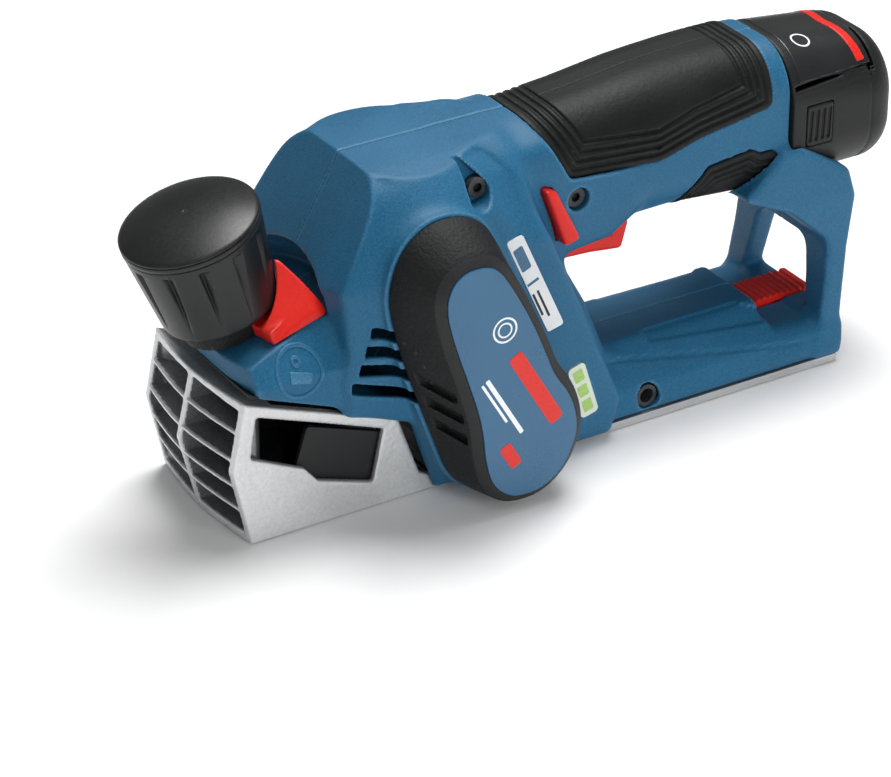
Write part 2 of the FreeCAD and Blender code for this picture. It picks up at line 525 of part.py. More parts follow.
save("motor_bearings", ring(MOTOR, 6.5, SHAFT_R + 0.03, -34.1, -29.4), ring(MOTOR, 6.5, SHAFT_R + 0.03, 28.2, 31.8))
# belt with its tooth-free inner face just clear of both pulleys
belt = capsule_solid(MOTOR, PUL_M + 1.9, DRUM, PUL_D + 1.9, BELT_Y0, BELT_Y1).cut(
    capsule_solid(MOTOR, PUL_M + 0.3, DRUM, PUL_D + 0.3, BELT_Y0 - 1, BELT_Y1 + 1))
save("drive_belt", belt)

# ---------------------------------------------------------------- front shoe
def shoe_at(y, f):
    p = [(-105.0 - 0.8 * f, 0.0), (-110.4 - f, 26.5), (-105.6 - 0.8 * f, 49.0), (-52.9, 28.5), (-45.6, 7.2), (-38.8, 3.0),
         (-35.2, 2.4), (-35.2, 0.0)]
    return Part.makePolygon([V(a, y, b) for a, b in p + p[:1]])


shoe = loft([shoe_at(-SOLE_HW, 0), shoe_at(-14, 2.9), shoe_at(0, 3.8), shoe_at(14, 2.9), shoe_at(SOLE_HW, 0)])
cham = prism([(-102.7, 2.7), (-107.5, 26.5), (-103.2, 45.2), (-55.0, 26.4), (-48.6, 8.0), (-48.6, 2.7)], "xz", -26.4, 26.4).common(
    prism([(-101.5, -27), (-85.0, 0, 6), (-101.5, 27), (-28, 27), (-28, -27)], "xy", 0, 60))
cham = cham.fuse(prism([(-64, 25.6), (-40, 25.6), (-40, 3.2), (-64, 3.2)], "xz", -26.4, 26.4))
rows = []
for s in (-1, 1):
    p = [(-125, s * 26.0), (-125, s * 1.5), (-90.2, s * 1.5, 4), (-105.2, s * 26.0)]
    q = prism(p, "xy", 3.0, 60).common(prism([(-130, 3.2), (-130, 49), (-112, 48.3), (-107, 46.2), (-84, 37.4), (-84, 3.2)], "xz", -30, 30))
    rows.append(q)
pock = rows[0].fuse(rows[1])
for z in (9.6, 18.6, 27.6, 36.6):
    pock = pock.cut(prism([(-130, z + 3.4), (-130, z + 5.2), (-98, z + 1.0), (-98, z - 0.8)], "xz", -40, 40).common(
        box(-130, -98.5, -30, 30, 0, 60)))
shoe = shoe.cut(cham).cut(pock)
WIN = [(-102.0, 43.6, 1), (-79.7, 35.0, 1), (-58.0, 26.4, 1), (-62.0, 8.6, 1), (-81.3, 15.2, 2), (-86.0, 20.9, 1), (-104.3, 29.8, 1)]
shoe = shoe.cut(prism(WIN, "xz", -31, -25.0)).cut(prism(WIN, "xz", 25.0, 31))
boss = cyl(KO + K * -38.0, K, 6.0, 22.0).common(prism([(-110, 0), (-110, 50.7), (-105.6, 49.0), (-52.9, 28.5), (-52, 0)], "xz", -20, 20))
shoe = shoe.fuse(boss)
for p in PINS:
    b = cyl(p + K * -42.0, K, 4.0, 24.0).common(prism([(-110, 0), (-110, 50.7), (-105.6, 49.0), (-52.9, 28.5), (-52, 0)], "xz", -26.5, 26.5))
    shoe = shoe.fuse(b)
for p in PINS:
    shoe = shoe.cut(cyl(p + K * -50.0, K, 2.07, 30.0))
shoe = shoe.cut(cyl(KO + K * -60.0, K, SPIN_R + 0.06, 50.0))
FP = (-75.0, 0.0)                                                     # deflector pivot
shoe = shoe.cut(Part.makeCylinder(2.06, 40, V(FP[0], 0, 10)))
# V grooves along the running face
for y in (-16.0, 0.0, 16.0):
    w = Part.makePolygon([V(-120, y - 1.3, -0.2), V(-120, y + 1.3, -0.2), V(-120, y, 1.2), V(-120, y - 1.3, -0.2)])
    shoe = shoe.cut(Part.Face(w).extrude(V(100, 0, 0)))
save("front_shoe", biggest(shoe))
PANEL = [(-83.4, 33.6, 1), (-57.6, 24.0, 1), (-59.4, 6.4, 1), (-82.0, 13.2, 1), (-87.6, 21.0, 1)]
save("side_panels", prism(PANEL, "xz", -26.3, -24.7), prism(PANEL, "xz", 24.7, 26.3))
pins = [cyl(p + K * -40.0, K, 2.0, 19.8) for p in PINS]
save("shoe_guide_pins", *pins)
top = [(-104.4, 52.1), (-50.6, 31.15), (-50.9, 30.2), (-104.4, 51.1)]
seal = prism(top, "xz", -28.9, 28.9).cut(box(-103.0, -40, -25.2, 25.2, 20, 60))
save("shoe_seal", seal)

# ---------------------------------------------------------------- chip deflector
flap = Part.makeBox(18.5, 1.8, 40, V(FP[0] + 1.0, -0.9, 3.6))
flap.rotate(V(FP[0], 0, 0), V(0, 0, 1), 27.0)
flap = flap.common(prism([(-80, 3.6), (-80, 33.2), (-50, 21.8), (-50, 3.6)], "xz", -30, 30))
flap = flap.fuse(Part.makeCylinder(3.0, 27.5, V(FP[0], 0, 3.6))).fuse(Part.makeCylinder(2.0, 33.0, V(FP[0], 0, 3.4)))
save("chip_deflector", flap)

# ---------------------------------------------------------------- knob, spindle and chip lever
knob = spun([(0, 4.0), (18.2, 4.0), (18.8, 7), (19.3, 14), (21.3, 30), (22.0, 33.2), (0, 33.2)])
for i in range(12):
    c = Part.makeCylinder(2.2, 26, KO + E * 20.6 + K * 2.0, K)
    c.rotate(KO + E * 20.6 + K * 2.0, NY, 5.0)
    c.rotate(KO, K, i * 30.0 + 15)
    knob = knob.cut(c)
knob = knob.cut(cyl(KO, K, SPIN_R + 0.02, 26.1))
save("depth_knob", biggest(knob))
save("depth_scale_ring", spun([(16.0, 33.25), (22.2, 33.25), (22.2, 35.2), (16.0, 35.2)]))
cap = spun([(0, 33.25), (15.9, 33.25), (15.9, 35.25), (21.9, 35.25), (21.6, 36.2), (15.5, 38.3), (8, 39.5), (0, 39.9)])
save("knob_cap", cap)
save("depth_spindle", cyl(KO + K * -37.5, K, SPIN_R, 63.5))
lev = spun([(9.06, -2.6), (14.0, -2.6), (14.0, 3.0), (9.06, 3.0)])
lev = lev.fuse(spun([(13.5, -2.6), (23, -2.6), (23, 2.6), (13.5, 2.6)], 70, -92))
pad_l = spun([(21.6, -2.6), (32.3, -2.6), (32.3, 2.4), (25.1, 13.8), (21.6, 13.8)], 74, -92)
top_l = Part.Face(Part.makePolygon([KO + E * a + V(0, b, 0) + K * c for a, b, c in ((-3, -34, -13.6), (-3, -6, 12.9), (-3, -6, -30), (-3, -34, -30), (-3, -34, -13.6))])).extrude(E * 40 + K * 6.4)
pad_l = pad_l.common(top_l)
lp = [KO + E * a + V(0, b, 0) + K * -4 for a, b in ((-1.0, -23.2), (24.4, -23.2), (19.6, -8.4), (-1.0, 0.0))]
lev = lev.fuse(pad_l.common(Part.Face(Part.makePolygon(lp + lp[:1])).extrude(K * 20)))
lev = lev.common(Part.Face(Part.makePolygon([KO + E * a + V(0, b, 0) + K * -4 for a, b in ((-20, -23.2), (24.4, -23.2), (19.6, -8.4), (23, 0.0), (23, 20), (-20, 20), (-20, -23.2))])).extrude(K * 20))
save("chip_lever", lev.removeSplitter())

# ---------------------------------------------------------------- trigger and lock-off
trig = prism([(19.6, 53.8, 2), (31.0, 53.2, 10), (43.2, 51.6, 2), (45.8, 60.8, 2), (43.6, 66.0, 2), (20.0, 68.0, 3), (18.4, 60.5, 3)],
             "xz", -8.0, 8.0)
trig = trig.cut(prism([(24.8, 61.0), (42.6, 58.5), (42.4, 70.0), (24.8, 70.0)], "xz", -6.3, 6.3).cut(box(33, 39, -9, 9, 50, 66)))
trig = trig.fuse(cyly(TP, 2.0, -10.2, 10.2)).fuse(cyly(TP, 3.4, -8.0, 8.0))
save("trigger", biggest(trig))
hel = Part.makeHelix(1.5, 5.8, 2.2)
hel.Placement = FreeCAD.Placement(V(36.0, 0, 66.4), FreeCAD.Rotation())
pw = Part.Wire(Part.makeCircle(0.35, V(38.2, 0, 66.4), V(0, 1, 0)))
spring = Part.Wire(hel.Edges).makePipeShell([pw], True, True)
save("trigger_spring", spring)
lock = prism(LOCK, "xz", -24.4, -16.5).fuse(prism(LOCK, "xz", 15.0, 21.3)).fuse(cyly((6.3, 84.0), 2.2, -17, 16))
save("lock_off_button", lock)

# ---------------------------------------------------------------- electrics in the handle and base
save("switch_module", box(22.0, 37.2, -8.0, 8.0, 72.6, 86.0))
save("terminal_block", box(38.0, 41.6, -11.0, 11.0, 78.0, 97.0).cut(box(40.0, 42, -9.5, -3.5, 80, 95)).cut(
    box(40.0, 42, 3.5, 9.5, 80, 95)))
pcb = box(47.0, 87.0, -17.5, 17.5, 7.0, 8.5)
for x0, x1, y0, y1, h in ((50, 57, -15, -8, 3.0), (50, 58, 6, 14, 3.2), (62, 70, -14, -7, 2.4), (62, 72, 6, 15, 2.4), (76, 84, -14, -8, 2.0), (76, 82, 7, 13, 3.0)):
    pcb = pcb.fuse(box(x0, x1, y0, y1, 8.4, 8.5 + h))
save("control_board", pcb)

# ---------------------------------------------------------------- battery pack
head = Part.Face(rrect(BAT_X0, BZ, BHW, BHH, 15)).extrude(V(31.4, 0, 0))
head = head.fuse(loft([rrect(BAT_X0 + 31.4, BZ, BHW, BHH, 15), rrect(BAT_X1 - 3.5, BZ, BHW - 1.8, BHH - 2.0, 14), rrect(BAT_X1 - 0.8, BZ, BHW - 5.0, BHH - 5.4, 12),
                       rrect(BAT_X1, BZ, BHW - 10.0, BHH - 10.5, 8)]))
stick = Part.Face(rrect(44.0, 87.6, 18.2, 17.9, 9.6)).extrude(V(54, 0, 0))
case = head.fuse(stick).removeSplitter()
case = case.cut(Part.Face(rrect(45.0, 87.6, 17.4, 17.1, 8.8)).extrude(V(60, 0, 0)))
case = case.cut(Part.Face(rrect(99.6, BZ, BHW - 2.0, BHH - 2.0, 13)).extrude(V(33.0, 0, 0)))
LB = (103.0, 113.0, 79.0, 93.0)
for s in (-1, 1):
    y0, y1 = (-30, -20) if s < 0 else (20, 30)
    case = case.cut(box(LB[0] - 0.3, LB[1] + 0.3, y0, y1, LB[2] - 0.3, LB[3] + 0.3))
case = case.cut(box(101.5, 128.0, -30, -BHW + 0.55, 95.6, 103.5))
save("battery_case", biggest(case))
save("battery_label", box(101.6, 127.9, -BHW + 0.04 - 0.1, -BHW + 0.5, 95.7, 103.4))
for nm, s in (("battery_latch_left", -1), ("battery_latch_right", 1)):
    b = box(LB[0], LB[1], 20.6, 23.85, LB[2], LB[3])
    for i in range(4):
        x = LB[0] + 1.6 + i * 2.3
        b = b.cut(box(x, x + 1.0, 23.1, 26, LB[2] + 2, LB[3] - 2))
    save(nm, b if s > 0 else mirror_y(b))
cells = [cyl((47.0, y, z), (1, 0, 0), 8.5, 65.0) for y, z in ((-8.6, 79.3), (8.6, 79.3), (0, 94.3))]
save("battery_cells", *cells)
save("battery_contacts", *[box(42.2, 43.98, y - 2.6, y + 2.6, 82.0, 93.0) for y in (-6.5, 6.5)])

# ---------------------------------------------------------------- key holder
kh = box(95.0, 119.4, -7.35, 7.35, 10.1, 17.6)
for i in range(9):
    x = 97.2 + i * 2.35
    kh = kh.cut(prism([(x, 18.0), (x + 0.5, 16.7), (x + 1.1, 16.7), (x + 1.6, 18.0)], "xz", -10, 10))
kh = kh.cut(cyl((90, 0, 12.9), (1, 0, 0), 1.85, 16)).cut(box(103.8, 107.8, -8, 2.0, 10.9, 14.8))
save("key_holder", kh)
hx = [V(66.0, 1.65 * math.cos(math.radians(60 * i)), 12.9 + 1.65 * math.sin(math.radians(60 * i))) for i in range(6)]
key = Part.Face(Part.makePolygon(hx + hx[:1])).extrude(V(39.9, 0, 0))
key = key.fuse(box(104.2, 107.2, -7.2, 1.4, 11.4, 14.4))
save("hex_key", key.removeSplitter())
print("nodes", len(NODES))
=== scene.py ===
import bpy, math
import numpy as np
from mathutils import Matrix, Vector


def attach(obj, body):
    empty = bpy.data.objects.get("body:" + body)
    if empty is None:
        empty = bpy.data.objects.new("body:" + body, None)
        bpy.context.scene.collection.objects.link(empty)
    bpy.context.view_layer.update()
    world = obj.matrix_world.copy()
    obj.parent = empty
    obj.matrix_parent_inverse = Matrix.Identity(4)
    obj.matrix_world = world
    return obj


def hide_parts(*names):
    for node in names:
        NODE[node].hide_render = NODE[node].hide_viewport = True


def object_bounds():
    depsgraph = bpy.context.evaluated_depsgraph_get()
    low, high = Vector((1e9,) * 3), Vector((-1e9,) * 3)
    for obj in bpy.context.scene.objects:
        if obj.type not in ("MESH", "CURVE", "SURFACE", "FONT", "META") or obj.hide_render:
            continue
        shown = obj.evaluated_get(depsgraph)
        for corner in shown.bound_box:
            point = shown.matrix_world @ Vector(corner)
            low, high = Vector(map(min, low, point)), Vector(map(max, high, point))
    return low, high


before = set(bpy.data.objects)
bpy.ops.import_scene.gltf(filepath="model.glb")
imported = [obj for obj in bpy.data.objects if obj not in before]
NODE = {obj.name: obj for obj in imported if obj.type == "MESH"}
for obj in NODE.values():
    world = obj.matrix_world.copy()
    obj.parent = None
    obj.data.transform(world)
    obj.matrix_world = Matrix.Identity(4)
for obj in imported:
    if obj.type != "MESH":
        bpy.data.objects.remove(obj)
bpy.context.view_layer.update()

MM = 0.001
H = 0.72          # sampling step of the large moulded pieces, mm
HF = 0.5          # sampling step of the small moulded pieces, mm
HG = 0.42         # sampling step of the grooved grips, mm
rng = np.random.default_rng(7)

# ------------------------------------------------------------------ reference sizes (mm)
DRUM = (-21.0, 22.0)
MOTOR = (-39.0, 76.0)
TILT = math.radians(17.0)
KO = np.array([-96.7, 0.0, 64.0])
KX, KZ = -math.sin(TILT), math.cos(TILT)
EX, EZ = math.cos(TILT), math.sin(TILT)
WALL = 2.2


# ------------------------------------------------------------------ distance fields
def rnd(pts, n=5):
    """Polygon with each corner rounded by its third value."""
    out, m = [], len(pts)
    for i in range(m):
        p0, p1, p2 = pts[i - 1], pts[i], pts[(i + 1) % m]
        r = p1[2] if len(p1) > 2 else 0.0
        a = np.array([p0[0] - p1[0], p0[1] - p1[1]], float)
        b = np.array([p2[0] - p1[0], p2[1] - p1[1]], float)
        la, lb = np.hypot(*a), np.hypot(*b)
        a, b = a / la, b / lb
        th = math.acos(max(-1.0, min(1.0, float(a @ b))))
        if r <= 0.01 or th > 3.13:
            out.append((p1[0], p1[1]))
            continue
        t = min(r / math.tan(th / 2), 0.46 * la, 0.46 * lb)
        P1 = np.array([p1[0], p1[1]], float)
        s1, s2 = P1 + a * t, P1 + b * t
        for k in range(n + 1):
            u = k / n
            q = (1 - u) ** 2 * s1 + 2 * u * (1 - u) * P1 + u * u * s2
            out.append((q[0], q[1]))
    return out


def chaikin(p, k=2):
    p = np.asarray([q[:2] for q in p], float)
    for _ in range(k):
        q = np.roll(p, -1, 0)
        p = np.stack([0.75 * p + 0.25 * q, 0.25 * p + 0.75 * q], 1).reshape(-1, 2)
    return p


def poly(P, a, b):
    """Signed distance to a polygon, negative inside."""
    P = np.asarray([q[:2] for q in P], float)
    a, b = np.broadcast_arrays(np.asarray(a, np.float32), np.asarray(b, np.float32))
    d = np.full(a.shape, 1e9, np.float32)
    s = np.ones(a.shape, np.float32)
    for i in range(len(P)):
        pi, pj = P[i], P[i - 1]
        e = pj - pi
        ee = float(e @ e)
        if ee < 1e-12:
            continue
        wx, wy = a - np.float32(pi[0]), b - np.float32(pi[1])
        t = np.clip((wx * e[0] + wy * e[1]) / ee, 0, 1)
        bx, by = wx - e[0] * t, wy - e[1] * t
        d = np.minimum(d, bx * bx + by * by)
        c1, c2, c3 = b >= pi[1], b < pj[1], e[0] * wy > e[1] * wx
        s = np.where((c1 & c2 & c3) | (~c1 & ~c2 & ~c3), -s, s)
    return (s * np.sqrt(d)).astype(np.float32)


def smin(a, b, k):
    h = np.maximum(k - np.abs(a - b), 0) / k
    return np.minimum(a, b) - h * h * (k * 0.25)


def smax(a, b, k):
    return -smin(-a, -b, k)


def cut(a, b, k=0.0):
    return smax(a, -b, k) if k else np.maximum(a, -b)


def boxd(a, b, ca, cb, ha, hb, r):
    """Rounded rectangle in two coordinates."""
    qa, qb = np.abs(a - ca) - (ha - r), np.abs(b - cb) - (hb - r)
    return np.hypot(np.maximum(qa, 0), np.maximum(qb, 0)) + np.minimum(np.maximum(qa, qb), 0) - r


def slab(a, lo, hi):
    return np.maximum(lo - a, a - hi)


def capsule(c1, r1, c2, r2, n=26):
    dx, dz = c2[0] - c1[0], c2[1] - c1[1]
    L, th = math.hypot(dx, dz), math.atan2(dz, dx)
    al = math.acos((r1 - r2) / L)
    out = []
    for k in range(n + 1):
        a = th + al + (2 * math.pi - 2 * al) * k / n
        out.append((c1[0] + r1 * math.cos(a), c1[1] + r1 * math.sin(a)))
    for k in range(n + 1):
        a = th - al + 2 * al * k / n
        out.append((c2[0] + r2 * math.cos(a), c2[1] + r2 * math.sin(a)))
    return out


def nets(D, xs, ys, zs):
    """Quads round the zero level of a sampled field."""
    ins = D < 0
    c = np.zeros([n - 1 for n in D.shape], np.uint8)
    offs = [(i, j, k) for i in (0, 1) for j in (0, 1) for k in (0, 1)]
    sl = lambda o, n: slice(o, n - 1 + o)
    for o in offs:
        c += ins[sl(o[0], D.shape[0]), sl(o[1], D.shape[1]), sl(o[2], D.shape[2])]
    mixed = (c > 0) & (c < 8)
    ci, cj, ck = np.nonzero(mixed)
    idx = np.full(mixed.shape, -1, np.int64)
    idx[ci, cj, ck] = np.arange(len(ci))
    val = np.stack([D[ci + o[0], cj + o[1], ck + o[2]] for o in offs], 1)
    acc = np.zeros((len(ci), 3))
    cnt = np.zeros(len(ci))
    for p in range(8):
        for q in range(p + 1, 8):
            if sum(abs(offs[p][t] - offs[q][t]) for t in range(3)) != 1:
                continue
            va, vb = val[:, p], val[:, q]
            m = (va < 0) != (vb < 0)
            t = np.where(m, va / np.where(m, va - vb, 1), 0)
            for ax in range(3):
                acc[:, ax] += np.where(m, offs[p][ax] + t * (offs[q][ax] - offs[p][ax]), 0)
            cnt += m
    f = acc / cnt[:, None]
    V = np.stack([xs[ci] + f[:, 0] * (xs[ci + 1] - xs[ci]), ys[cj] + f[:, 1] * (ys[cj + 1] - ys[cj]),
                  zs[ck] + f[:, 2] * (zs[ck + 1] - zs[ck])], 1)
    F = []
    for ax in range(3):
        a, b = [t for t in range(3) if t != ax]
        lo = [slice(None)] * 3
        hi = [slice(None)] * 3
        lo[ax], hi[ax] = slice(0, -1), slice(1, None)
        x, y = ins[tuple(lo)], ins[tuple(hi)]
        ch = x != y
        e = np.nonzero(ch)
        e = [t.copy() for t in e]
        ok = (e[a] > 0) & (e[b] > 0) & (e[a] < D.shape[a] - 1) & (e[b] < D.shape[b] - 1)
        e = [t[ok] for t in e]
        s = x[e[0], e[1], e[2]]

        def cell(da, db):
            q = [t.copy() for t in e]
            q[a] = q[a] - da
            q[b] = q[b] - db
            return idx[q[0], q[1], q[2]]

        quad = np.stack([cell(1, 1), cell(0, 1), cell(0, 0), cell(1, 0)], 1)
        if ax == 1:
            s = ~s
        quad = np.where(s[:, None], quad, quad[:, ::-1])
        F.append(quad)
    F = np.concatenate(F)
    F = F[(F >= 0).all(1)]
    return V, F


def axis(lo, hi, h):
    n = int(math.ceil((hi - lo) / h)) + 1
    return np.linspace(lo, hi, n).astype(np.float32)


def grid(x0, x1, y0, y1, z0, z1, h):
    xs, ys, zs = axis(x0, x1, h), axis(y0, y1, h), axis(z0, z1, h)
    return xs, ys, zs, xs[:, None, None], ys[None, :, None], zs[None, None, :]


def fit(D, V, xs, ys, zs, steps=1):
    """Pulls the vertices onto the zero level."""
    for _ in range(steps):
        g = []
        P = []
        for t, ax in ((0, xs), (1, ys), (2, zs)):
            u = np.interp(V[:, t], ax, np.arange(len(ax)))
            i = np.clip(u.astype(int), 0, len(ax) - 2)
            P.append((i, u - i, ax))
        (i, fx, _), (j, fy, _), (k, fz, _) = P
        c = {}
        for a in (0, 1):
            for b in (0, 1):
                for d in (0, 1):
                    c[a, b, d] = D[i + a, j + b, k + d]
        wx, wy, wz = (1 - fx, fx), (1 - fy, fy), (1 - fz, fz)
        val = sum(c[a, b, d] * wx[a] * wy[b] * wz[d] for a in (0, 1) for b in (0, 1) for d in (0, 1))
        gx = sum((c[1, b, d] - c[0, b, d]) * wy[b] * wz[d] for b in (0, 1) for d in (0, 1)) / (xs[i + 1] - xs[i])
        gy = sum((c[a, 1, d] - c[a, 0, d]) * wx[a] * wz[d] for a in (0, 1) for d in (0, 1)) / (ys[j + 1] - ys[j])
        gz = sum((c[a, b, 1] - c[a, b, 0]) * wx[a] * wy[b] for a in (0, 1) for b in (0, 1)) / (zs[k + 1] - zs[k])
        n2 = gx * gx + gy * gy + gz * gz + 1e-6
        st = np.clip(val / n2, -0.35, 0.35)
        V = V - np.stack([gx * st, gy * st, gz * st], 1)
    return V


def slot_of(mat):
    n = mat.name
    for key, val in (("blue", "housing_plastic"), ("badge", "badge_plastic"), ("rubber", "grip_rubber"), ("red", "red_plastic"),
                     ("cast", "cast_metal"), ("alum", "cast_metal"), ("steel", "dark_steel"), ("white", "label_film"),
                     ("green", "lens_green"), ("black", "black_plastic")):
        if key in n:
            return val
    return None


def mesh(name, V, F, mats, body, nodes=(), slot=None, smooth=True, scale=MM):
    slot = slot or slot_of(mats[0] if isinstance(mats, (list, tuple)) else mats)
    me = bpy.data.meshes.new(name)
    V = np.asarray(V, float) * scale
    F = np.asarray(F)
    w = F.shape[1]
    c = V.mean(0)
    p = [V[F[:, i]] - c for i in range(w)]
    vol = np.einsum("ij,ij->i", p[0], np.cross(p[1], p[2])).sum()
    if w == 4:
        vol += np.einsum("ij,ij->i", p[0], np.cross(p[2], p[3])).sum()
    if vol < 0:
        F = F[:, ::-1]
    me.vertices.add(len(V))
    me.vertices.foreach_set("co", V.astype(np.float32).ravel())
    me.loops.add(len(F) * w)
    me.loops.foreach_set("vertex_index", F.astype(np.int32).ravel())
    me.polygons.add(len(F))
    me.polygons.foreach_set("loop_start", np.arange(0, len(F) * w, w, dtype=np.int32))
    me.update(calc_edges=True)
    me.validate()
    me.polygons.foreach_set("use_smooth", np.full(len(me.polygons), smooth))
    for m in (mats if isinstance(mats, (list, tuple)) else [mats]):
        me.materials.append(m)
    o = bpy.data.objects.new(name, me)
    bpy.context.scene.collection.objects.link(o)
    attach(o, body)
    if nodes:
        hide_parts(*nodes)
    return o


def keep_main(V, F, least=60):
    """Drops loose specks: only shells with enough faces stay."""
    par = np.arange(len(V))
    e = np.concatenate([F[:, [0, 1]], F[:, [1, 2]], F[:, [2, 3]]])
    for _ in range(60):
        a, b = par[e[:, 0]], par[e[:, 1]]
        m = np.minimum(a, b)
        old = par.copy()
        np.minimum.at(par, a, m)
        np.minimum.at(par, b, m)
        par = par[par]
        if (par == old).all():
            break
    root = par[F[:, 0]]
    u, inv, n = np.unique(root, return_inverse=True, return_counts=True)
    F = F[n[inv] >= least]
    used = np.zeros(len(V), bool)
    used[F.ravel()] = True
    new = np.cumsum(used) - 1
    return V[used], new[F]


def solid(name, D, ax, mats, body, nodes=(), slot=None, flip=False, steps=1, least=60):
    V, F = nets(D, *ax)
    V = fit(D, V, *ax, steps=steps)
    V, F = keep_main(V, F, least)
    if flip:
        V = V * np.array([1.0, -1.0, 1.0])
        F = F[:, ::-1]
    return mesh(name, V, F, mats, body, nodes, slot)


# ------------------------------------------------------------------ materials
def lin(h):
    c = [int(h[i:i + 2], 16) / 255 for i in (0, 2, 4)]
    return [x / 12.92 if x <= 0.04045 else ((x + 0.055) / 1.055) ** 2.4 for x in c] + [1.0]


def ramp(N, stops):
    r = N.new("ShaderNodeValToRGB")
    el = r.color_ramp.elements
    while len(el) < len(stops):
        el.new(0.5)
    for e, (p, c) in zip(el, stops):
        e.position, e.color = p, c
    return r


def finish_mat(name, base, rough=0.5, metal=0.0, grain=1600.0, depth=0.00006, grain_amt=0.5, mottle=0.10, edge_wear_and_highlight=None,
               rvar=0.10, cell=0.0, brushed=None, coat=0.0, spec=0.5, detail=3.0, emission=None, second=None):
    m = bpy.data.materials.new(name)
    m.use_nodes = True
    nt = m.node_tree
    N, L = nt.nodes, nt.links
    N.clear()
    out, b = N.new("ShaderNodeOutputMaterial"), N.new("ShaderNodeBsdfPrincipled")
    L.new(b.outputs[0], out.inputs[0])
    b.inputs["Metallic"].default_value = metal
    b.inputs["Specular IOR Level"].default_value = spec
    b.inputs["Coat Weight"].default_value = coat
    b.inputs["Coat Roughness"].default_value = 0.25
    tc = N.new("ShaderNodeTexCoord")
    src = tc.outputs["Object"]
    if brushed:
        mp = N.new("ShaderNodeMapping")
        mp.inputs["Scale"].default_value = brushed
        L.new(src, mp.inputs[0])
        fine_src = mp.outputs[0]
    else:
        fine_src = src
    fine = N.new("ShaderNodeTexNoise")
    fine.inputs["Scale"].default_value = grain
    fine.inputs["Detail"].default_value = detail
    fine.inputs["Roughness"].default_value = 0.62
    L.new(fine_src, fine.inputs["Vector"])
    big = N.new("ShaderNodeTexNoise")
    big.inputs["Scale"].default_value = 38.0
    big.inputs["Detail"].default_value = 4.0
    L.new(src, big.inputs["Vector"])
    # colour: slow mottling, then the grain's own speckle, then convex edges lightened by pointiness: partly rubbed
    # wear, partly a painted edge highlight
    c = lin(base)
    dark = [x * (1 - mottle * 1.3) for x in c[:3]] + [1]
    lite = [min(1, x * (1 + mottle) + 0.004) for x in c[:3]] + [1]
    r1 = ramp(N, [(0.30, dark), (0.70, lite)])
    L.new(big.outputs[0], r1.inputs[0])
    col = r1.outputs[0]
    mx = N.new("ShaderNodeMix")
    mx.data_type, mx.blend_type = "RGBA", "MULTIPLY"
    mx.inputs[0].default_value = 1.0
    r2 = ramp(N, [(0.32, [1 - grain_amt * 0.42] * 3 + [1]), (0.68, [1 + grain_amt * 0.30] * 3 + [1])])
    L.new(fine.outputs[0], r2.inputs[0])
    L.new(col, mx.inputs[6])
    L.new(r2.outputs[0], mx.inputs[7])
    col = mx.outputs[2]
    # convex edges (pointiness) get a lighter colour, speckled by the grain: partly rubbed edge wear, partly a painted
    # highlight where edges catch the light
    if edge_wear_and_highlight:
        geo = N.new("ShaderNodeNewGeometry")
        mr = N.new("ShaderNodeMapRange")
        mr.inputs["From Min"].default_value = edge_wear_and_highlight[1]
        mr.inputs["From Max"].default_value = edge_wear_and_highlight[2]
        mr.inputs["To Max"].default_value = edge_wear_and_highlight[3]
        L.new(geo.outputs["Pointiness"], mr.inputs["Value"])
        mm = N.new("ShaderNodeMath")
        mm.operation = "MULTIPLY"
        L.new(mr.outputs[0], mm.inputs[0])
        L.new(fine.outputs[0], mm.inputs[1])
        ad = N.new("ShaderNodeMath")
        ad.operation = "MULTIPLY"
        ad.use_clamp = True
        ad.inputs[1].default_value = 1.7
        L.new(mm.outputs[0], ad.inputs[0])
        mw = N.new("ShaderNodeMix")
        mw.data_type = "RGBA"
        L.new(ad.outputs[0], mw.inputs[0])
        L.new(col, mw.inputs[6])
        mw.inputs[7].default_value = lin(edge_wear_and_highlight[0])
        col = mw.outputs[2]
    L.new(col, b.inputs["Base Color"])
    # roughness
    rr = N.new("ShaderNodeMapRange")
    rr.inputs["From Min"].default_value, rr.inputs["From Max"].default_value = 0.3, 0.7
    rr.inputs["To Min"].default_value = max(0.03, rough - rvar)
    rr.inputs["To Max"].default_value = min(1.0, rough + rvar)
    mxr = N.new("ShaderNodeMath")
    mxr.operation = "MULTIPLY_ADD"
    mxr.inputs[1].default_value, mxr.inputs[2].default_value = 0.5, 0.0
    sm = N.new("ShaderNodeMath")
    sm.operation = "ADD"
    L.new(fine.outputs[0], sm.inputs[0])
    L.new(big.outputs[0], sm.inputs[1])
    L.new(sm.outputs[0], mxr.inputs[0])
    L.new(mxr.outputs[0], rr.inputs["Value"])
    L.new(rr.outputs[0], b.inputs["Roughness"])
    # bump
    bp = N.new("ShaderNodeBump")
    bp.inputs["Distance"].default_value = depth
    bp.inputs["Strength"].default_value = 1.0
    if cell:
        vo = N.new("ShaderNodeTexVoronoi")
        vo.inputs["Scale"].default_value = cell
        vo.feature = "SMOOTH_F1"
        L.new(src, vo.inputs["Vector"])
        a2 = N.new("ShaderNodeMath")
        a2.operation = "ADD"
        L.new(vo.outputs[0], a2.inputs[0])
        L.new(fine.outputs[0], a2.inputs[1])
        L.new(a2.outputs[0], bp.inputs["Height"])
    else:
        L.new(fine.outputs[0], bp.inputs["Height"])
    L.new(bp.outputs[0], b.inputs["Normal"])
    if emission:
        b.inputs["Emission Color"].default_value = lin(emission[0])
        b.inputs["Emission Strength"].default_value = emission[1]
    return m
